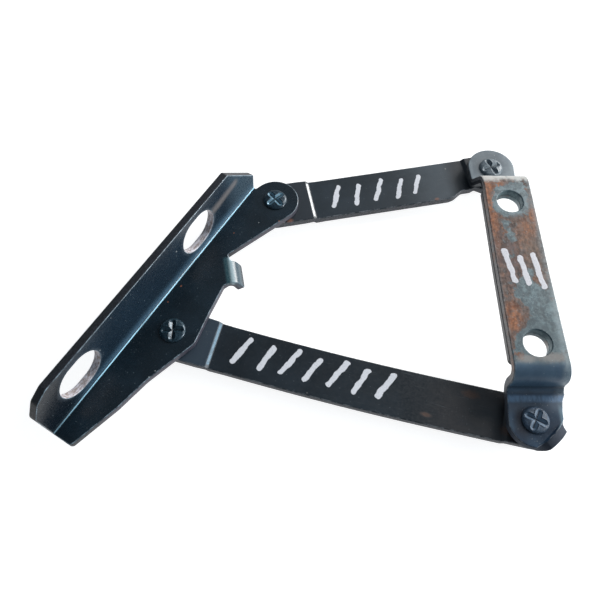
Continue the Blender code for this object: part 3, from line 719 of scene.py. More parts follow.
def tail_profile():
    """The shank's far end and the far head, as (radius, y) from bearing face to middle."""
    points = [
        (SHANK_R, TAIL_Y), (TAIL_R - 0.25, TAIL_Y), (TAIL_R - 0.07, TAIL_Y + 0.07),
        (TAIL_R, TAIL_Y + 0.25), (TAIL_R, TAIL_Y + 0.85),
    ]
    for k in range(1, 13):
        a = math.radians(90 * k / 12)
        points.append(((TAIL_R - 2.2) + 2.2 * math.cos(a), TAIL_Y + 0.85 + 1.2 * math.sin(a)))
    return points + [
        (3.0, TAIL_Y + TAIL_H - 0.07), (1.5, TAIL_Y + TAIL_H - 0.02), (0.0, TAIL_Y + TAIL_H),
    ]


def dome(radius):
    for (r0, y0), (r1, y1) in zip(HEAD_DOME, HEAD_DOME[1:]):
        if radius <= r1:
            return y0 + (y1 - y0) * ((radius - r0) / (r1 - r0))
    return HEAD_DOME[-1][1]


def smooth_dome(radius):
    weights = ((-2, 1), (-1, 2), (0, 3), (1, 2), (2, 1))
    return sum(dome(max(0.0, radius + k * 0.12)) * weight for k, weight in weights) / 9


def groove(x, z, turn, deep):
    """Depth at a point of the head: two crossing V-grooves with a raised lip."""
    most_deep = lip = 0.0
    for quarter in (0, 90):
        a = math.radians(turn + quarter)
        along = abs(x * math.cos(a) + z * math.sin(a))
        across = abs(-x * math.sin(a) + z * math.cos(a))
        end = 1 - smooth_step((along - 3.2) / 1.7)
        wide = 1.32 * (0.62 + 0.38 * end)
        most_deep = max(most_deep, deep * end * max(0.0, 1 - across / wide) ** 0.9)
        lip = max(lip, 0.11 * end * math.exp(-(((across - wide - 0.16) / 0.22) ** 2)))
    return most_deep - (lip if most_deep < 0.04 else 0.0)


def rivet(centre, turn, deep, split):
    """A rivet with a cross staked into its near head. A split one ends at SPLIT_Y.

    The layer "edge" holds the depth in the cross, 0 to 1.
    """
    bm = bmesh.new()
    depth = bm.verts.layers.float.new("edge")

    def head_point(x, z):
        sunk = groove(x, z, turn, deep)
        y = HEAD_TOP + smooth_dome(math.hypot(x, z)) + sunk
        made = bm.verts.new((centre[0] + x, y, centre[1] + z))
        made[depth] = max(0.0, sunk) / deep
        return made

    rings = [[head_point(0.0, 0.0)]]
    for k in range(1, HEAD_RINGS + 1):
        radius = HEAD_R * (k / HEAD_RINGS)
        angles = circle_angles(RIVET_SEGMENTS)
        rings.append([head_point(radius * math.cos(a), radius * math.sin(a)) for a in angles])
    profile = [
        (HEAD_R + 0.03, HEAD_Y - 0.12), (HEAD_R - 0.04, HEAD_Y - 0.03),
        (HEAD_R - 0.16, HEAD_Y), (SHANK_R, HEAD_Y),
    ]
    if split:
        profile += [(SHANK_R, SPLIT_Y - CLEAR), (0.0, SPLIT_Y - CLEAR)]
    else:
        profile += tail_profile()
    rings += [ring(bm, centre, radius, y, RIVET_SEGMENTS) for radius, y in profile]
    join_rings(bm, rings)
    return bm


def split_tail(centre):
    start = SPLIT_Y + CLEAR
    return turned([(0.0, start), (SHANK_R, start)] + tail_profile(), centre)


def piece(name, bm, body, finish, slot, *nodes):
    """Links a mesh given in millimetres as a smooth piece that rides on a body."""
    bmesh.ops.recalc_face_normals(bm, faces=bm.faces)
    bmesh.ops.scale(bm, verts=bm.verts, vec=(MM, MM, MM))
    for face in bm.faces:
        face.smooth = True
    mesh = bpy.data.meshes.new(name)
    bm.to_mesh(mesh)
    bm.free()
    mesh.materials.append(finish)
    made = bpy.data.objects.new(name, mesh)
    bpy.context.scene.collection.objects.link(made)
    even = made.modifiers.new("Even normals", "WEIGHTED_NORMAL")
    even.mode = "FACE_AREA"
    even.weight = 60
    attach(made, body)
    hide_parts(*nodes)


# --------------------------------------------------------------- shader nodes


def add_node(tree, kind, inputs, **settings):
    made = tree.nodes.new(kind)
    for key, value in settings.items():
        setattr(made, key, value)
    for key, value in inputs.items():
        if isinstance(value, Signal):
            tree.links.new(value.socket, made.inputs[key])
        else:
            made.inputs[key].default_value = value
    return made


def signal(tree, kind, inputs=None, output=0, **settings):
    return Signal(tree, add_node(tree, kind, inputs or {}, **settings), output)


def linear(tone):
    """Linear RGBA from three 8-bit display values. Signals and RGBA pass unchanged."""
    if isinstance(tone, Signal) or len(tone) == 4:
        return tone
    shares = [value / 255 for value in tone]
    return (*(c / 12.92 if c <= 0.04045 else ((c + 0.055) / 1.055) ** 2.4 for c in shares), 1.0)


class Signal:
    """An output of a node. Arithmetic on it and its methods add nodes to its tree."""

    def __init__(self, tree, node, output=0):
        self.tree, self.node, self.socket = tree, node, node.outputs[output]

    def add(self, kind, inputs, output=0, **settings):
        return signal(self.tree, kind, inputs, output, **settings)

    def output(self, key):
        return Signal(self.tree, self.node, key)

    def math(self, operation, other=0.0):
        return self.add("ShaderNodeMath", {0: self, 1: other}, operation=operation)

    def __add__(self, other):
        return self.math("ADD", other)

    def __radd__(self, other):
        return self.add("ShaderNodeMath", {0: other, 1: self}, operation="ADD")

    def __sub__(self, other):
        return self.math("SUBTRACT", other)

    def __rsub__(self, other):
        return self.add("ShaderNodeMath", {0: other, 1: self}, operation="SUBTRACT")

    def __mul__(self, other):
        return self.math("MULTIPLY", other)

    def __abs__(self):
        return self.math("ABSOLUTE")

    def vector(self, operation, inputs=None, output="Vector"):
        inputs = {0: self, **(inputs or {})}
        return self.add("ShaderNodeVectorMath", inputs, output, operation=operation)

    def scaled(self, scale):
        return self.vector("SCALE", {"Scale": scale})

    def separate(self):
        x = self.add("ShaderNodeSeparateXYZ", {0: self})
        return x, x.output(1), x.output(2)

    def mix(self, first, second):
        """First colour where this signal is 0, second where it is 1."""
        inputs = {0: self, 6: linear(first), 7: linear(second)}
        return self.add("ShaderNodeMix", inputs, output=2, data_type="RGBA")

    def blend(self, first, second):
        """First number where this signal is 0, second where it is 1."""
        return self.add("ShaderNodeMix", {0: self, 2: first, 3: second}, data_type="FLOAT")

    def cover(self, tone, mask, by=None):
        """This colour covered with a tone where the mask is 1. by is the tone's strength."""
        return (mask if by is None else mask * by).mix(self, tone)

    def between(self, start, end, low=0.0, high=1.0):
        """Runs smoothly from low to high as this signal goes from start to end."""
        inputs = {"Value": self, "From Min": start, "From Max": end, "To Min": low, "To Max": high}
        return self.add("ShaderNodeMapRange", inputs, interpolation_type="SMOOTHSTEP")

    def roughen(self, noise, amount):
        return self + (noise - 0.5) * amount

    def mapped(self, location, scale, **settings):
        inputs = {"Vector": self, "Location": location, "Scale": scale}
        return self.add("ShaderNodeMapping", inputs, **settings)

    def noise(self, size, detail, rough, seed, stretch=(1.0, 1.0, 1.0)):
        """Noise around 0.5, with features of about the given size in mm."""
        moved = self.mapped((seed, seed * 1.7, seed * 0.6), tuple(s / size for s in stretch))
        inputs = {"Vector": moved, "Scale": 1.0, "Detail": detail, "Roughness": rough}
        return self.add("ShaderNodeTexNoise", inputs)

    def specks(self, size, amount, seed, reach):
        """Dots about size mm apart, in the given share of cells. reach limits their radius."""
        moved = self.mapped((seed, seed, seed), (1 / size,) * 3)
        cell = self.add("ShaderNodeTexVoronoi", {"Vector": moved, "Scale": 1.0}, "Distance")
        pick = self.add("ShaderNodeSeparateColor", {0: cell.output("Color")})
        there = pick.math("LESS_THAN", amount)
        dot = pick.output(1) * reach - cell
        return dot.between(0.0, reach * 0.35) * there

    def spot(self, centre, radii, soft, ragged=None, rag=0.5):
        """1 inside an ellipse on the blank and 0 outside. rag is the uneven rim's size."""
        moved = self.mapped((*centre, 0.0), (*radii, 1e6), vector_type="TEXTURE")
        far = moved.vector("LENGTH", output="Value")
        if ragged is not None:
            far = far.roughen(ragged, rag)
        return far.between(1 + soft, 1 - soft)

    def spots(self, table, soft, ragged, rag):
        """Spots from rows of (x, y, x radius, y radius)."""
        return [self.spot(row[:2], row[2:], soft, ragged, rag) for row in table]

    def stroke(self, start, end, width, soft, ragged=None, rag=0.0):
        """1 along a line on the blank from start to end."""
        (x0, y0), (x1, y1) = start, end
        inputs = {
            "Vector": self,
            "Location": ((x0 + x1) / 2, (y0 + y1) / 2, 0.0),
            "Rotation": (0, 0, math.atan2(y1 - y0, x1 - x0)),
            "Scale": (1, 1, 1e6),
        }
        moved = self.add("ShaderNodeMapping", inputs, vector_type="TEXTURE")
        along, across, _ = moved.separate()
        over = (abs(along) - distance(start, end) / 2).math("MAXIMUM", 0.0)
        far = (over * over + across * across).math("SQRT")
        if ragged is not None:
            far = far.roughen(ragged, rag)
        return far.between(width / 2 + soft, width / 2 - soft)


def most(first, *others):
    for other in others:
        first = other.add("ShaderNodeMath", {0: first, 1: other}, operation="MAXIMUM")
    return first


def new_material(name):
    material = bpy.data.materials.new(name)
    material.use_nodes = True
    material.node_tree.nodes.clear()
    return material


def attribute(material, name, output):
    return signal(material.node_tree, "ShaderNodeAttribute", output=output, attribute_name=name)


def sheet_material(name):
    """A new material, the place on the blank, and how far round the edge a point is."""
    material = new_material(name)
    return material, attribute(material, "flat", "Vector"), attribute(material, "edge", "Fac")


def object_mm(material):
    place = signal(material.node_tree, "ShaderNodeTexCoord", output="Object")
    return place.scaled(1 / MM)


def output_surface(tree, shader, kind="ShaderNodeOutputMaterial"):
    add_node(tree, kind, {"Surface": shader})


def finish(material, base, rough, height, depth, metallic=0.0, specular=0.5):
    """Closes a material. depth is the bump's full height in mm."""
    bump = base.add("ShaderNodeBump", {"Height": height, "Distance": depth * MM, "Strength": 1.0})
    inputs = {
        "Base Color": base,
        "Roughness": rough,
        "Metallic": metallic,
        "Coat Weight": 0.0,
        "Coat Roughness": 0.1,
        "Specular IOR Level": specular,
        "Normal": bump,
    }
    output_surface(material.node_tree, base.add("ShaderNodeBsdfPrincipled", inputs))
    return material


def corner_band(edge):
    """1 on the rounding between a face and its sheared wall."""
    return edge.between(0.05, 0.3) * edge.between(0.75, 0.45)


def pen(at, near, lines, width, seed):
    """Paint-pen strokes on the near side, with dry, uneven edges, and their dryness."""
    wobble = at.noise(size=2.6, detail=3.0, rough=0.6, seed=seed)
    dry = at.noise(size=0.5, detail=3.0, rough=0.7, seed=seed + 4.0)
    inputs = {"Vector": at, "Scale": 0.22, "Detail": 1.0}
    sway = at.add("ShaderNodeTexNoise", inputs, "Color").vector("SUBTRACT", {1: (0.5, 0.5, 0.5)})
    moved = at.vector("ADD", {1: sway.scaled(1.5)})
    strokes = [
        moved.stroke(start, end, width, soft=0.14, ragged=wobble, rag=1.1) for start, end in lines
    ]
    return most(0.0, *strokes) * dry.between(0.16, 0.42, low=0.35) * near, dry


# ------------------------------------------------------------------ materials


def flange_wear(at, base, near, streaky_noise):
    """The s and y of a place on the blank."""
    s, y, _ = at.separate()
    return s, y


def bonnet_paint():
    """Blue-black gloss paint: dusty on the web, with a painted bluish reflection on the flange,
    painted highlights on the fold, the tab's bend and the edges, and wear.
    """
    material, at, edge = sheet_material("dark_gloss_paint")
    s, y, depth = at.separate()
    near = depth.math("GREATER_THAN", -PLATE_T / 2)
    cloud = at.noise(size=15.0, detail=4.0, rough=0.6, seed=3.0)
    streaky_noise = at.noise(size=6.0, detail=5.0, rough=0.65, seed=7.0, stretch=(0.45, 1.0, 1.0))
    fine = at.noise(size=0.7, detail=4.0, rough=0.65, seed=1.0)
    base = cloud.between(0.35, 0.7).mix((10, 22, 30), (20, 34, 44))

    # Painted reflection: the flange is painted bluish and lighter, most beside the fold and toward
    # its rear end. It is darker toward its front end
    on_flange = y.between(FOLD_START + FOLD_LENGTH * 0.6, FLANGE_START) * near
    beside = y.between(FLANGE_START + 7.5, FLANGE_START - 0.5)
    beside = beside * beside * on_flange
    along = most(
        at.spot((22.0, FOLD_START + 8.0), (34.0, 14.0), soft=0.55, ragged=streaky_noise, rag=0.5),
        at.spot((70.0, FOLD_START + 4.0), (44.0, 5.0), soft=0.6, ragged=streaky_noise, rag=0.4) * 0.85,
        at.spot((112.0, FOLD_START + 5.0), (12.0, 4.0), soft=0.6, ragged=streaky_noise, rag=0.4) * 0.35,
    )
    flange_reflection = beside * along * streaky_noise.between(0.15, 0.6, low=0.55)
    base = base.cover((20, 36, 50), on_flange, by=0.55)
    base = base.cover((74, 104, 126), flange_reflection, by=0.80)
    base = base.cover((68, 86, 98), on_flange * s.between(22.0, 8.0), by=0.54)
    base = base.cover((6, 13, 20), s.between(110.0, 120.0) * on_flange, by=0.85)

    # Painted highlight: a bright line along the fold
    line = abs(y - (FOLD_START + FOLD_LENGTH * 0.42)).between(0.95, 0.20) * near
    wear_and_highlight_noise = at.noise(size=5.0, detail=4.0, rough=0.6, seed=12.0, stretch=(0.5, 2.0, 1.0))
    line = line * wear_and_highlight_noise.between(0.25, 0.6, low=0.45) * s.between(132.0, 95.0, low=0.35)
    base = base.cover((168, 222, 246), line, by=0.98)

    # Wear around the slots, and a dull streak beside the one at the lower s
    slots = [(slot_s, flange_y(height)) for slot_s, height in SLOTS]
    halo_radii = (SLOT[0] / 2 + 1.1, SLOT[1] / 2 + 1.1)
    halo = most(0.0, *(at.spot(slot, halo_radii, 0.10, streaky_noise, rag=0.25) for slot in slots))
    halo = halo * on_flange * fine.between(0.25, 0.7, low=0.35)
    base = base.cover((84, 96, 108), halo, by=0.30)
    start, end = (29.0, flange_y(14.0)), (11.5, flange_y(15.5))
    streak = at.stroke(start, end, width=3.2, soft=1.6, ragged=streaky_noise, rag=4.0) * on_flange
    base = base.cover((112, 106, 104), streak, by=0.55)

    # Dust, chips, rust specks and scratches
    dust = at.specks(size=1.0, amount=0.45, seed=4.0, reach=0.30)
    dust = dust * cloud.between(0.4, 0.75, low=0.25, high=0.9)
    base = base.cover((120, 134, 140), dust, by=0.45)
    chips = at.specks(size=3.4, amount=0.16, seed=17.0, reach=0.16)
    base = base.cover((150, 156, 158), chips, by=0.7)
    rust_specks = (  # s, y, radii
        (57.2, 9.2, 0.42, 0.30), (65.9, 9.3, 0.30, 0.28),
        (24.2, 5.6, 0.28, 0.25), (8.5, -7.5, 0.35, 0.25),
    )
    rust = most(*at.spots(rust_specks, soft=0.5, ragged=fine, rag=0.9))
    base = base.cover((150, 94, 70), rust, by=0.7)
    marks = at.noise(size=1.1, detail=3.0, rough=0.6, seed=30.0, stretch=(0.12, 1.6, 1.0))
    areas = at.noise(size=20.0, detail=2.0, rough=0.5, seed=33.0)
    marks = marks.between(0.66, 0.74) * areas.between(0.5, 0.65)
    base = base.cover((110, 124, 134), marks, by=0.28)

    # Sheared edges: dark purple-grey, lighter along both corners from wear and a painted highlight
    cut = edge.between(0.45, 0.95)
    speck = at.noise(size=0.55, detail=4.0, rough=0.7, seed=21.0)
    cut_tone = speck.between(0.40, 0.75).mix((12, 14, 19), (44, 46, 54))
    cut_tone = cut_tone.cover((66, 64, 76), y.between(2.0, -2.0), by=0.7)
    base = base.cover(cut_tone, cut)
    # The slot walls are rubbed bare.
    for k, slot in enumerate(slots):
        wall = at.spot(slot, (SLOT[0] / 2 + 0.9, SLOT[1] / 2 + 0.9), soft=0.04)
        wall = wall * edge.between(0.30, 0.60)
        rub = at.noise(size=1.6, detail=5.0, rough=0.7, seed=71.0 + k, stretch=(1.0, 1.0, 2.2))
        base = base.cover(rub.between(0.34, 0.66).mix((126, 112, 106), (196, 194, 202)), wall)
    # Corners: wear and a painted highlight
    wear_and_highlight_noise = at.noise(size=3.0, detail=5.0, rough=0.7, seed=25.0)
    corner = corner_band(edge) * wear_and_highlight_noise.between(0.38, 0.62, low=0.1)
    base = base.cover((128, 146, 158), corner, by=0.75)

    # Painted highlight and reflection bands along the bend of the stop tab:
    # start along its axis, distance out from the bend's start, width, softness, tone, strength
    bands = (
        (-1.5, 0.9, 1.3, 0.7, (150, 172, 178), 0.8),
        (-1.0, 3.2, 3.6, 1.0, (70, 96, 108), 0.45),
        (-1.5, -0.6, 1.6, 0.8, (62, 98, 106), 0.5),
    )
    for first, out, width, soft, tone, strength in bands:
        start, end = (stop_to_flat(place, STOP_START + out) for place in (first, 11.0))
        base = base.cover(tone, at.stroke(start, end, width, soft) * near, by=strength)

    rough = fine.between(0.3, 0.7).blend(0.22, 0.36)
    rough = rough + most(cut, halo, streak) * 0.25 + dust * 0.2
    waves = at.noise(size=2.2, detail=2.0, rough=0.5, seed=9.0)
    height = waves * 0.35 + fine * 0.22 + speck * cut * 1.2 + dust * 0.3
    return finish(material, base, rough, height, depth=0.05)


def link_ground(at, x, seed, cloud, front):
    """Broad tones of a link from its bonnet end to its body end, with painted light on the tilted
    bonnet end, a painted brown reflection on the front link and painted light and shadow by the
    rear link's body end.
    """
    streaky_noise = at.noise(size=5.0, detail=5.0, rough=0.65, seed=seed + 2.0, stretch=(0.5, 1.0, 1.0))
    end_part = x.between(17.4, 16.0)
    if front:
        base = cloud.between(0.35, 0.7).mix((15, 23, 30), (26, 35, 43))
        # Painted light: the tilted bonnet end is lighter
        base = base.cover((54, 66, 78), end_part, by=0.75)
        # Painted reflection: browner toward the body end
        brown = x.between(96.0, 118.0) * streaky_noise.between(0.25, 0.6, low=0.4)
        return base.cover((48, 45, 46), brown, by=0.80)
    span = distance(BONNET_REAR, BODY_REAR)
    base = cloud.between(0.35, 0.7).mix((24, 33, 40), (36, 45, 53))
    # Painted light: a lighter band before the body end
    lighter = (x + streaky_noise * 16.0).between(60.0, 92.0) * x.between(span - 13.0, span - 22.0)
    base = base.cover((72, 82, 90), lighter, by=0.62)
    # Painted light: the tilted bonnet end is browner grey
    base = base.cover((42, 46, 52), end_part, by=0.6)
    # Painted shadow under the rear ear at the body end
    return base.cover((32, 33, 38), x.between(span - 19.0, span - 11.5), by=0.75)


# Pen ticks: x, lean, height
FRONT_TICKS = (
    (28.0, 2.3, 10.6), (38.5, 1.8, 9.6), (48.0, 2.6, 10.4), (57.5, 2.0, 9.0),
    (67.5, 2.6, 10.2), (77.0, 1.9, 9.4), (87.0, 2.4, 9.8),
)
REAR_TICKS = (
    (28.5, 2.2, 10.2), (38.5, 1.7, 9.4), (48.5, 2.4, 10.0), (58.5, 1.8, 9.0), (67.0, 2.0, 8.4),
)
# Rust spots: x, y, radii
FRONT_RUST = ((120.0, -6.0, 3.0, 1.6), (104.0, 6.5, 1.8, 0.8), (136.0, 5.0, 3.2, 2.0))
REAR_RUST = ((5.0, 9.3, 1.3, 1.0), (1.5, 9.6, 0.8, 0.6), (74.0, 8.8, 1.0, 0.7))


def link_paint(name, seed, front):
    """Satin blue-black paint, dusty, with white paint-pen ticks, painted highlights on the bend
    and edges, and painted light and shade from link_ground.
    """
    if front:
        line_x, line_breakup, line_tone = 16.65, 0.45, (88, 122, 142)
        rust_spots, rust_tone = FRONT_RUST, (84, 58, 46)
        ticks, tick_width = FRONT_TICKS, 2.3
    else:
        line_x, line_breakup, line_tone = 16.55, 0.75, (226, 228, 228)
        rust_spots, rust_tone = REAR_RUST, (128, 84, 66)
        ticks, tick_width = REAR_TICKS, 2.1
    material, at, edge = sheet_material(name)
    x, y, depth = at.separate()
    near = depth.math("GREATER_THAN", 0.0)
    cloud = at.noise(size=18.0, detail=4.0, rough=0.6, seed=seed)
    fine = at.noise(size=0.7, detail=4.0, rough=0.65, seed=seed + 1.0)
    base = link_ground(at, x, seed, cloud, front)

    # Line on the bend by the bonnet end: a painted bluish highlight on the front link, a white
    # scuff and painted highlight on the rear one
    wear_and_highlight_noise = at.noise(size=1.6, detail=4.0, rough=0.7, seed=seed + 6.0)
    line = abs(x - line_x).between(0.62, 0.30) * wear_and_highlight_noise.between(0.3, 0.55, low=line_breakup) * near
    line = line * abs(y + 0.7).between(9.6, 8.6)
    base = base.cover(line_tone, line, by=0.95)

    # Dust, chips, scratches and rust
    dust = at.specks(size=0.9, amount=0.40, seed=seed + 8.0, reach=0.30)
    dust = dust * cloud.between(0.4, 0.75, low=0.3, high=0.9)
    base = base.cover((116, 124, 128), dust, by=0.40)
    chips = at.specks(size=3.6, amount=0.14, seed=seed + 12.0, reach=0.15)
    base = base.cover((140, 138, 134), chips, by=0.6)
    scratch = at.noise(size=1.0, detail=3.0, rough=0.6, seed=seed + 14.0, stretch=(0.08, 1.8, 1.0))
    areas = at.noise(size=22.0, detail=2.0, rough=0.5, seed=seed + 15.0)
    scratch = scratch.between(0.64, 0.74) * areas.between(0.42, 0.62)
    base = base.cover((112, 118, 122), scratch, by=0.30)
    rust = most(0.0, *at.spots(rust_spots, soft=0.6, ragged=fine, rag=1.4))
    base = base.cover(rust_tone, rust, by=0.7)

    # Sheared walls, and their corners lighter from wear and a painted highlight
    cut = edge.between(0.45, 0.95)
    speck = at.noise(size=0.55, detail=4.0, rough=0.7, seed=seed + 16.0)
    base = base.cover(speck.between(0.35, 0.68).mix((30, 32, 37), (82, 84, 90)), cut)
    wear_and_highlight_noise = at.noise(size=2.4, detail=5.0, rough=0.7, seed=seed + 18.0)
    corner = corner_band(edge) * wear_and_highlight_noise.between(0.42, 0.62)
    base = base.cover((142, 146, 150), corner, by=0.7)

    lines = []
    for k, (tick_x, lean, tall) in enumerate(ticks):
        middle = -0.6 + (0.5 if k % 2 else -0.4)
        lines.append(((tick_x + lean, middle - tall / 2), (tick_x - lean, middle + tall / 2)))
    paint, dry = pen(at, near, lines, tick_width, seed + 20.0)
    base = base.cover(dry.mix((196, 198, 206), (232, 232, 236)), paint)

    rough = fine.between(0.3, 0.7).blend(0.30, 0.46) + most(cut, rust) * 0.25
    rough = paint.blend(rough, 0.6)
    waves = at.noise(size=2.0, detail=2.0, rough=0.5, seed=seed)
    height = waves * 0.3 + fine * 0.25 + speck * cut * 1.1 + paint * 0.8
    return finish(material, base, rough, height, depth=0.05)


# Holes of the body bracket on its flat blank
FLAT_HOLES = [(x + FIRST_EXTRA, y) for x, y in BODY_HOLES]
# Places that have lost more paint: x, y, radii, amount
BARE_SPOTS = (
    (97.0, 8.2, 24.0, 2.6, 0.80), (94.0, -9.0, 9.0, 3.4, 0.55), (64.0, 5.5, 7.0, 4.5, 0.45),
    (47.0, 5.2, 8.5, 5.0, 1.00), (84.0, -4.0, 12.0, 6.0, 0.30), (29.0, -7.0, 2.8, 4.5, 0.55),
    (28.5, 5.5, 2.4, 3.5, 0.60), (36.0, 8.6, 5.0, 1.2, 0.6),
)
# Places that have kept their paint: x, y, radii
KEPT_SPOTS = (
    (86.5, 2.6, 4.2, 1.8), (82.0, 0.4, 2.8, 2.2), (64.0, -3.0, 4.0, 1.8),
    (55.0, -0.5, 6.0, 5.4), (46.0, -7.0, 12.0, 5.0), (104.0, -6.5, 4.0, 2.4),
)
# Orange rust: x, y, radii, softness, raggedness
ORANGE_SPOTS = (
    (96.0, 7.8, 18.0, 2.2, 0.6, 1.2), (107.0, 4.5, 3.4, 4.5, 0.5, 1.2),
    (91.0, -9.4, 6.0, 2.0, 0.5, 1.2), (84.0, -5.5, 6.0, 3.0, 0.7, 1.4),
    (45.0, 6.5, 6.5, 3.4, 0.6, 1.4), (31.0, 7.5, 1.6, 1.2, 0.6, 1.2),
)
# Patches in the rust: noise size, detail, seed, noise from and to, strength, tone
RUST_PATCHES = (
    (2.6, 4.0, 41.0, 0.60, 0.70, 0.55, (128, 126, 122)),
    (3.4, 5.0, 44.0, 0.46, 0.68, 0.50, (88, 94, 96)),
    (4.2, 5.0, 47.0, 0.54, 0.70, 0.60, (56, 38, 35)),
)


def paint_loss(at, x, blotch, grain, mid):
    """How far the body bracket's paint has gone, before it is limited to 0 to 1."""
    bare = blotch.between(0.36, 0.62, low=-0.42, high=0.42)
    bare = bare + x.between(46.0, 70.0, low=0.02, high=0.66)
    for *place, amount in BARE_SPOTS:
        bare = bare + at.spot(place[:2], place[2:], soft=0.45, ragged=blotch, rag=0.9) * amount
    for hole_x, hole_y in FLAT_HOLES:
        kept = at.spot((hole_x, hole_y - 0.6), (8.2, 8.6), soft=0.22, ragged=blotch, rag=0.9)
        bare = bare - kept * 1.35
    for kept in at.spots(KEPT_SPOTS, soft=0.4, ragged=blotch, rag=1.0):
        bare = bare - kept * 0.75
    return bare.roughen(grain, 0.75).roughen(mid, 0.70)


def rust_tone(at, grain, mid, fine):
    brown = grain.between(0.36, 0.64).mix((66, 50, 44), (112, 90, 80))
    orange = at.noise(size=5.0, detail=5.0, rough=0.65, seed=27.0).between(0.50, 0.66)
    heat = most(*(
        at.spot((x, y), radii, soft, grain, rag) for x, y, *radii, soft, rag in ORANGE_SPOTS
    ))
    orange = most(orange * 0.55, heat) * fine.between(0.2, 0.6, low=0.6)
    orange_tone = grain.between(0.35, 0.65).mix((116, 66, 38), (158, 100, 60))
    rust = brown.cover(orange_tone, orange, by=0.85)
    for size, detail, seed, start, end, strength, tone in RUST_PATCHES:
        patch = at.noise(size, detail, rough=0.7, seed=seed).between(start, end)
        rust = rust.cover(tone, patch, by=strength)
    olive = at.spot((76.0, -6.0), (14.0, 5.5), soft=0.6, ragged=mid, rag=1.0)
    rust = rust.cover((104, 92, 82), olive * mid.blend(0.3, 1.0), by=0.65)
    plum = at.spot((72.0, 3.5), (10.0, 5.0), soft=0.6, ragged=mid, rag=1.0)
    rust = rust.cover((88, 68, 66), plum * grain.between(0.35, 0.6, low=0.4), by=0.60)
    streaks = at.noise(size=2.2, detail=5.0, rough=0.7, seed=97.0, stretch=(0.5, 1.4, 1.0))
    return rust.scaled(streaks.between(0.38, 0.62, low=0.70, high=1.30))


def body_ground(x, cloud, grain):
    """Blue-grey paint in four tones from the front ear to the rear one."""
    cloudy = (  # dark and light tone of each part
        ((52, 72, 78), (76, 94, 100)),
        ((28, 44, 62), (44, 66, 86)),
        ((46, 70, 90), (64, 88, 108)),
        ((80, 92, 100), (110, 120, 126)),
    )
    tones = [cloud.between(0.35, 0.7).mix(*pair) for pair in cloudy]
    crown, front_ear, front_slope, rear_ear = tones
    base = front_slope.cover(crown, x.roughen(grain, 5.0).between(25.0, 28.5))
    base = base.cover(front_ear, x.between(16.5, 10.5))
    return base.cover(rear_ear, x.between(112.5, 116.0))


def crown_stains(at, base, on_crown, near, haze, mid):
    """Stains and a pebbled tone over the crown's paint."""
    breaks = at.noise(size=2.2, detail=5.0, rough=0.7, seed=53.0).between(0.35, 0.62)
    base = base.cover((100, 88, 82), haze * breaks, by=0.55)
    shade = at.noise(size=4.6, detail=5.0, rough=0.68, seed=57.0).between(0.44, 0.62)
    base = base.cover((44, 66, 72), shade * on_crown * near, by=0.45)
    stain = at.noise(size=2.4, detail=6.0, rough=0.74, seed=103.0).between(0.40, 0.60)
    stained = stain.mix((44, 64, 72), (104, 124, 128))
    base = base.cover(stained, on_crown * near, by=0.55)
    base = base.scaled(on_crown.blend(1.0, mid.blend(0.72, 1.28)))
    film = at.noise(size=1.5, detail=5.0, rough=0.75, seed=91.0).between(0.56, 0.70)
    return base.cover((124, 142, 146), film * on_crown * near, by=0.40)


def body_wear_and_light(at, base, near, grain, mid):
    """Rings at the bolt holes, pale scale, lighter rims, painted highlights on the crown's rear
    bend, on a band of the front ear and on its lower rim, and painted shade at the foot of the
    front step.
    """
    x, y, _ = at.separate()
    for hole_x, hole_y in FLAT_HOLES:
        ring_mask = at.spot((hole_x, hole_y - 0.4), (8.0, 8.2), soft=0.25, ragged=grain, rag=0.5)
        front_tone = grain.mix((38, 56, 64), (62, 80, 86))
        rear_tone = grain.mix((84, 102, 110), (124, 138, 142))
        ring_tone = x.between(60.0, 90.0).mix(front_tone, rear_tone)
        ring_mask = ring_mask * mid.between(0.15, 0.6, low=0.05)
        base = base.cover(ring_tone, ring_mask * near, by=0.72)
    pale_spots = ((28.6, -5.5, 1.8, 5.5), (28.0, 4.0, 1.5, 3.5))  # x, y, radii
    pale = most(*at.spots(pale_spots, soft=0.5, ragged=grain, rag=1.2))
    base = base.cover((140, 132, 126), pale * near, by=0.55)
    rim = most(y.between(-8.2, -11.2), y.between(8.1, 9.0) * 0.3) * near
    rim = rim * grain.between(0.3, 0.6, low=0.3) * x.between(8.0, 24.0, low=0.25)
    base = base.cover((138, 150, 154), rim, by=0.60)
    # Painted highlight on the rear bend of the crown, painted shade in the crease at the foot of
    # the front step.
    crest = abs(x - (CROWN_X[1] + FIRST_EXTRA + 2.7)).roughen(mid, 1.4).between(3.4, 1.0)
    crest = crest * near * grain.between(0.25, 0.5, low=0.6)
    base = base.cover((190, 190, 186), crest, by=0.80)
    base = base.cover((30, 42, 54), abs(x - 15.2).between(2.4, 0.4) * near, by=0.6)
    # Painted bluish highlight band on the front ear beside its step, broken by press marks
    press = at.noise(size=1.0, detail=3.0, rough=0.7, seed=66.0, stretch=(0.25, 1.6, 1.0))
    shelf = abs(x - 8.3).between(2.1, 0.5) * near * press.between(0.30, 0.62, low=0.45)
    base = base.cover((84, 112, 140), shelf, by=0.9)
    # Painted highlight along the front ear's lower rim
    low_rim = y.between(-8.9, -10.3) * x.between(8.0, 3.0) * near
    return base.cover((104, 128, 142), low_rim, by=0.7)


def hole_walls(at):
    return (at.spot(hole, (7.2, 7.2), soft=0.1) for hole in FLAT_HOLES)


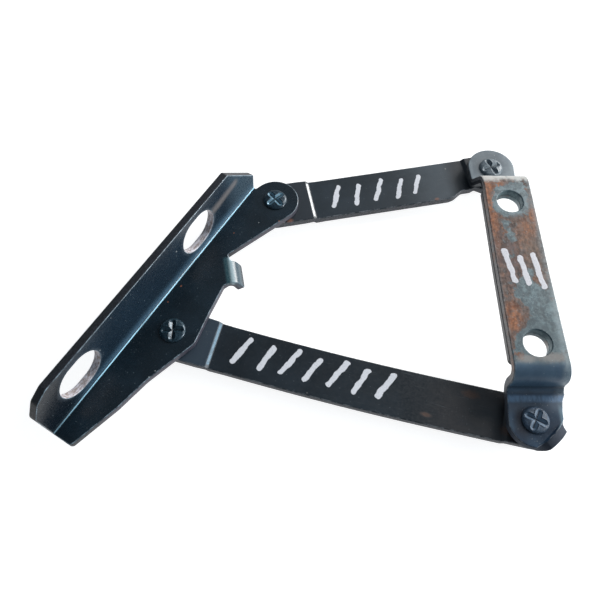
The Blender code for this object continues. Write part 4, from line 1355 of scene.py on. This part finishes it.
def body_edges(at, base, x, edge, cut, speck, grain, mid):
    """Sheared walls and their corners, lighter from wear and a painted highlight but less so in
    the bolt holes, with painted shade on the walls by the rear step and hole walls painted lighter
    against their shade.
    """
    tone = speck.between(0.35, 0.68).mix((58, 58, 60), (104, 100, 98))
    rusty = at.noise(size=6.0, detail=4.0, rough=0.6, seed=51.0).between(0.5, 0.62)
    tone = tone.cover((92, 68, 56), rusty)
    tone = tone.cover((50, 56, 66), x.between(26.0, 14.0))
    # Painted shade on the walls by the rear step
    tone = tone.cover((42, 46, 52), x.between(108.0, 113.0))
    # Hole walls: teal paint, painted lighter against the shade in the holes
    for wall in hole_walls(at):
        tone = tone.cover(mid.mix((58, 80, 88), (92, 112, 116)), wall)
    base = base.cover(tone, cut)
    # Corners: wear and a painted highlight
    corner = corner_band(edge) * grain.between(0.40, 0.60)
    for wall in hole_walls(at):
        corner = corner * (1.0 - wall * 0.8)
    return base.cover((146, 148, 150), corner, by=0.5)


def body_paint():
    """Blue-grey paint over steel, gone through to rust on the crown."""
    material, at, edge = sheet_material("worn_blue_grey_paint")
    x, _, depth = at.separate()
    near = depth.math("GREATER_THAN", 0.0)
    cloud = at.noise(size=12.0, detail=4.0, rough=0.6, seed=5.0)
    blotch = at.noise(size=7.5, detail=6.0, rough=0.66, seed=8.0)
    fine = at.noise(size=0.7, detail=4.0, rough=0.65, seed=6.0)
    grain = at.noise(size=1.8, detail=5.0, rough=0.7, seed=19.0)
    mid = at.noise(size=3.4, detail=6.0, rough=0.72, seed=83.0).between(0.37, 0.63)
    base = body_ground(x, cloud, grain)

    loss = paint_loss(at, x, blotch, grain, mid)
    on_crown = x.between(25.5, 28.0) * x.between(114.0, 111.5)
    haze = loss.between(-0.15, 0.75) * on_crown * near
    bare = loss.between(0.02, 0.62) * on_crown * near
    base = crown_stains(at, base, on_crown, near, haze, mid)
    base = base.cover(rust_tone(at, grain, mid, fine), bare)
    base = body_wear_and_light(at, base, near, grain, mid)

    # Grime around the rivets, then dust and chips
    darkening = at.spot((0.5, -0.3), (8.2, 8.0), soft=0.35, ragged=blotch, rag=0.8)
    base = base.cover((36, 42, 50), darkening, by=0.30)
    soot = at.spot((-1.0, 4.6), (4.6, 3.2), soft=0.6, ragged=blotch, rag=0.8)
    base = base.cover((34, 30, 32), soot * near, by=0.65)
    rear_pivot = (BODY_SPAN + 2 * FIRST_EXTRA, 1.5)
    dirt = at.spot(rear_pivot, (7.6, 7.0), soft=0.3, ragged=blotch, rag=0.8)
    base = base.cover((62, 66, 70), dirt, by=0.35)
    dust = at.specks(size=0.9, amount=0.45, seed=14.0, reach=0.30)
    base = base.cover((150, 156, 158), dust, by=0.35)
    chips = at.specks(size=3.0, amount=0.22, seed=37.0, reach=0.16)
    base = base.cover((52, 48, 48), chips, by=0.5)

    cut = edge.between(0.45, 0.95)
    speck = at.noise(size=0.55, detail=4.0, rough=0.7, seed=21.0)
    base = body_edges(at, base, x, edge, cut, speck, grain, mid)
    # Painted shade: the far side is dark toward the rear ear.
    under = (1.0 - near) * (x.between(105.0, 109.0) * x.between(129.0, 125.0))
    base = base.cover((30, 33, 38), under, by=0.9)

    # Three pen ticks on the crown, as start and end
    lines = (
        ((75.0, 5.4), (61.0, 3.0)), ((71.5, -0.4), (60.0, -2.2)), ((73.0, -6.0), (58.5, -8.0)),
    )
    paint, dry = pen(at, near, lines, width=2.3, seed=61.0)
    base = base.cover(dry.mix((176, 176, 182), (222, 220, 224)), paint)

    rough = fine.between(0.3, 0.7).blend(0.40, 0.56) + most(bare, cut, darkening) * 0.28
    rough = paint.blend(rough, 0.6)
    sheen = x.between(6.0, 1.0).blend(0.5, 0.22) * (1.0 - under * 0.9)
    waves = at.noise(size=2.2, detail=2.0, rough=0.5, seed=9.0)
    height = waves * 0.3 + fine * 0.25 + grain * bare * 1.1 - bare * 0.5
    height = height + speck * cut * 1.0 + paint * 0.9
    return finish(material, base, rough, height, depth=0.06, specular=sheen)


def rivet_paint(name, dark, light, darkening, metallic, rough, wall_scuff_and_highlight=None):
    """Paint over a staked head, darker deep in the cross and, if given, with groove walls lighter
    from scuffing and a painted highlight.
    """
    material = new_material(name)
    at = object_mm(material)
    depth = attribute(material, "edge", "Fac")
    fine = at.noise(size=0.7, detail=3.0, rough=0.6, seed=2.0)
    base = fine.between(0.3, 0.7).mix(dark, light)
    # Darker deep in the cross
    deep_in_cross = depth.between(0.70, 1.0) * fine.between(0.25, 0.6, low=0.5)
    base = base.cover(darkening, deep_in_cross, by=0.7)
    # Groove walls: scuffing and a painted bluish highlight
    if wall_scuff_and_highlight:
        wall = depth.between(0.05, 0.25) * depth.between(0.95, 0.70)
        base = base.cover(wall_scuff_and_highlight, wall, by=0.8)
    return finish(material, base, fine.blend(*rough), fine, depth=0.03, metallic=metallic)


def back_paint():
    """Dull paint on the backing plate, teal inside its two holes."""
    material, at, edge = sheet_material("dull_backing_paint")
    fine = at.noise(size=0.8, detail=4.0, rough=0.65, seed=2.0)
    patch = at.noise(size=3.5, detail=4.0, rough=0.6, seed=5.0)
    base = fine.between(0.3, 0.7).mix((38, 54, 58), (56, 74, 78))
    cut_tone = fine.between(0.35, 0.65).mix((26, 26, 30), (56, 54, 57))
    base = base.cover(cut_tone, edge.between(0.20, 0.80))
    near_hole = most(0.0, *(at.spot(hole, (6.6, 6.6), soft=0.08) for hole in BODY_HOLES))
    wall = fine.between(0.3, 0.7).mix((54, 76, 84), (92, 112, 118))
    wall = wall.cover((92, 70, 56), patch.between(0.52, 0.66), by=0.6)
    base = base.cover(wall, near_hole)
    sheen = near_hole.blend(0.25, 0.5)
    return finish(material, base, fine.blend(0.46, 0.66), fine, depth=0.04, specular=sheen)


def metal(name, size, dark, light, rough, metallic):
    """Bare metal with grain of the given size."""
    material = new_material(name)
    fine = object_mm(material).noise(size, detail=4.0, rough=0.6, seed=2.0)
    base = fine.between(0.3, 0.7).mix(dark, light)
    return finish(material, base, fine.blend(*rough), fine, depth=0.02, metallic=metallic)


def floor_finish():
    """A pale glowing floor that is clear from behind."""
    material = new_material("pale_floor")
    tree = material.node_tree
    cloud = object_mm(material).noise(size=9.0, detail=5.0, rough=0.6, seed=1.0)
    tone = cloud.between(0.2, 0.8, low=0.93, high=1.0)
    shade = tone.mix((0.36, 0.36, 0.36, 1), (0.42, 0.42, 0.42, 1))
    diffuse = signal(tree, "ShaderNodeBsdfDiffuse", {"Color": shade})
    glow = signal(tree, "ShaderNodeEmission", {"Color": (1, 1, 1, 1), "Strength": 0.86})
    lit = signal(tree, "ShaderNodeAddShader", {0: diffuse, 1: glow})
    clear = signal(tree, "ShaderNodeBsdfTransparent")
    behind = signal(tree, "ShaderNodeNewGeometry", output="Backfacing")
    output_surface(tree, signal(tree, "ShaderNodeMixShader", {0: behind, 1: lit, 2: clear}))
    return material


BONNET_PAINT = bonnet_paint()
BODY_PAINT = body_paint()
FRONT_PAINT = link_paint("dark_satin_paint_front", seed=11.0, front=True)
REAR_PAINT = link_paint("dark_satin_paint_rear", seed=23.0, front=False)
RIVET_PAINT = rivet_paint(
    "painted_rivet", dark=(18, 34, 44), light=(40, 62, 74), darkening=(8, 10, 12),
    metallic=0.25, rough=(0.20, 0.34),
)
RIVET_SCUFFED_HIGHLIT = rivet_paint(
    "scuffed_highlit_rivet", dark=(16, 30, 40), light=(36, 56, 68), darkening=(10, 14, 18),
    metallic=0.20, rough=(0.22, 0.36), wall_scuff_and_highlight=(104, 138, 156),
)
RIVET_FRONT = rivet_paint(
    "painted_rivet_front", dark=(32, 46, 62), light=(54, 74, 94), darkening=(34, 38, 46),
    metallic=0.0, rough=(0.46, 0.60), wall_scuff_and_highlight=(78, 98, 118),
)
RIVET_REAR = rivet_paint(
    "painted_rivet_rear", dark=(66, 78, 86), light=(104, 114, 120), darkening=(22, 28, 34),
    metallic=0.05, rough=(0.36, 0.50),
)
BACK_PAINT = back_paint()
BARE_STEEL = metal(
    "bare_steel", size=0.8, dark=(88, 86, 84), light=(128, 126, 122),
    rough=(0.35, 0.55), metallic=0.9,
)
BRONZE = metal(
    "sintered_bronze", size=0.5, dark=(92, 70, 46), light=(128, 98, 62),
    rough=(0.4, 0.6), metallic=0.85,
)


# --------------------------------------------------------------------- pieces

front_link = link(BONNET_FRONT, BODY_FRONT, True)
rear_link = link(BONNET_REAR, BODY_REAR, False)
# name, mesh, body, material, slot, CAD pieces replaced
SHEETS = (
    ("bonnet_bracket_sheet", bonnet_bracket(), "bonnet_side", BONNET_PAINT, "bonnet_paint",
     "bonnet_bracket"),
    ("body_bracket_sheet", body_bracket(), "body_side", BODY_PAINT, "body_paint", "body_bracket"),
    ("crown_backing", back_plate(), "body_side", BACK_PAINT, "body_paint"),
    ("front_link_sheet", front_link, "front_arm", FRONT_PAINT, "link_paint", "front_link"),
    ("rear_link_sheet", rear_link, "rear_arm", REAR_PAINT, "link_paint", "rear_link"),
)
for sheet in SHEETS:
    piece(*sheet)


def pivot(label, centre, bracket, arm, turn, deep, paint):
    """Rivet, washers and bush. The rear bonnet rivet is split between bracket and link."""
    split = label == "bonnet_rear"
    head = rivet(centre, turn, deep, split)
    if split:
        piece("staked_head_" + label, head, bracket, paint, "rivet_paint",
              "rivet_bonnet_rear_head")
        piece("far_head_" + label, split_tail(centre), arm, RIVET_PAINT, "rivet_paint",
              "rivet_bonnet_rear_tail")
    else:
        piece("staked_rivet_" + label, head, bracket, paint, "rivet_paint", "rivet_" + label)
    start = PLATE_Y + PLATE_T + CLEAR
    washer = round_tube(centre, WASHER_IN_R, WASHER_R, start, start + WASHER_T - CLEAR)
    piece("washer_" + label, washer, bracket, BRONZE, "bronze", "thrust_washer_" + label)
    start, end = LINK_END_Y + CLEAR, LINK_END_Y + LINK_T - CLEAR
    bush = round_tube(centre, BUSH_IN_R, BUSH_R, start, end)
    piece("bearing_" + label, bush, arm, BRONZE, "bronze", "bush_" + label)
    start, end = FAR_WASHER_Y, FAR_WASHER_Y + FAR_WASHER_T
    washer = round_tube(centre, WASHER_IN_R, FAR_WASHER_R, start, end)
    piece("far_washer_" + label, washer, arm if split else bracket, BARE_STEEL, "bare_steel",
          "back_washer_" + label)


# label, centre, bracket body, link body, turn of the cross in degrees, its depth, paint
PIVOTS = (
    ("body_front", BODY_FRONT, "body_side", "front_arm", 62, 0.95, RIVET_FRONT),
    ("body_rear", BODY_REAR, "body_side", "rear_arm", 25, 0.95, RIVET_REAR),
    ("bonnet_front", BONNET_FRONT, "bonnet_side", "front_arm", 2, 1.0, RIVET_PAINT),
    ("bonnet_rear", BONNET_REAR, "bonnet_side", "rear_arm", 42, 0.85, RIVET_SCUFFED_HIGHLIT),
)
for row in PIVOTS:
    pivot(*row)


# ----------------------------------------- floor, light and camera, in metres

FLOOR_GAP = 0.0005
FLOOR_HALF = 1.6
TARGET = Vector((0.0, 0.010, 0.075))  # the lights face this point
AMBIENT = 0.22
# Soft glows of the world: direction, tightness, strength
GLOWS = (
    ((0.75, -0.35, -0.55), 6.0, 1.1),
    ((-0.15, -0.30, -0.95), 7.0, 0.9),
    ((0.2, 0.95, 0.2), 2.0, 0.45),
)
CAMERA_AT = (-0.1191, -0.2085, 0.0939)
CAMERA_FORWARD = (0.4449, 0.8955, -0.0174)
CAMERA_RIGHT = (0.0, -0.0194, -0.9998)


def upright_floor():
    """A sheet behind the hinge, in the XZ plane."""
    _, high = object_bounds()
    corners = ((-1, -1), (1, -1), (1, 1), (-1, 1))
    places = [(x * FLOOR_HALF, high.y + FLOOR_GAP, z * FLOOR_HALF) for x, z in corners]
    mesh = bpy.data.meshes.new("floor")
    mesh.from_pydata(places, [], [(0, 1, 2, 3)])
    floor = bpy.data.objects.new("floor", mesh)
    bpy.context.scene.collection.objects.link(floor)
    mesh.materials.append(floor_finish())
    floor.visible_shadow = False


def studio_world():
    """Soft directional glows that light the hinge. The camera itself sees white."""
    world = bpy.data.worlds.new("studio")
    bpy.context.scene.world = world
    world.use_nodes = True
    tree = world.node_tree
    tree.nodes.clear()
    way = signal(tree, "ShaderNodeTexCoord", output="Generated")
    glow = AMBIENT
    for direction, tight, strength in GLOWS:
        toward = tuple(Vector(direction).normalized())
        facing = way.vector("DOT_PRODUCT", {1: toward}, "Value").math("MAXIMUM", 0.0)
        glow = glow + facing.math("POWER", tight) * strength
    tint = glow.mix((0.55, 0.76, 0.95, 1.0), (0.93, 0.97, 1.0, 1.0))
    lit = signal(tree, "ShaderNodeBackground", {"Color": tint, "Strength": glow})
    white = signal(tree, "ShaderNodeBackground", {"Color": (1, 1, 1, 1), "Strength": 1.0})
    seen = signal(tree, "ShaderNodeLightPath", output="Is Camera Ray")
    both = signal(tree, "ShaderNodeMixShader", {0: seen, 1: lit, 2: white})
    output_surface(tree, both, "ShaderNodeOutputWorld")


def softbox(name, toward, distance, size, power, colour):
    """An area light seen from the target in the direction toward."""
    light = bpy.data.lights.new(name, "AREA")
    light.shape = "RECTANGLE"
    light.size, light.size_y = size
    light.energy = power
    light.color = colour
    light.spread = math.radians(180)
    made = bpy.data.objects.new(name, light)
    way = Vector(toward).normalized()
    made.location = TARGET + way * distance
    made.rotation_euler = way.to_track_quat("Z", "Y").to_euler()
    bpy.context.scene.collection.objects.link(made)


def set_camera():
    """A camera on the near side, turned so that its right points down."""
    data = bpy.data.cameras.new("camera")
    data.sensor_width = 36.0
    data.lens = 36.0
    data.clip_start = 0.005
    camera = bpy.data.objects.new("camera", data)
    bpy.context.scene.collection.objects.link(camera)
    forward = Vector(CAMERA_FORWARD).normalized()
    right = Vector(CAMERA_RIGHT)
    right = (right - forward * right.dot(forward)).normalized()
    axes = Matrix((right, right.cross(forward), -forward)).transposed().to_4x4()
    camera.matrix_world = Matrix.Translation(CAMERA_AT) @ axes
    bpy.context.scene.camera = camera


upright_floor()
studio_world()
softbox("key", toward=(0.55, -0.45, -0.70), distance=0.9, size=(0.45, 0.35), power=9.0,
        colour=(1.0, 0.98, 0.96))
softbox("side", toward=(-0.15, -0.28, -0.95), distance=0.9, size=(0.30, 0.30), power=5.0,
        colour=(0.92, 0.97, 1.0))
softbox("back", toward=(0.3, 0.9, 0.4), distance=1.0, size=(0.6, 0.6), power=6.0,
        colour=(1.0, 1.0, 1.0))
set_camera()
bpy.context.scene.view_settings.view_transform = "Standard"
bpy.context.scene.view_settings.look = "None"

bpy.context.view_layer.update()
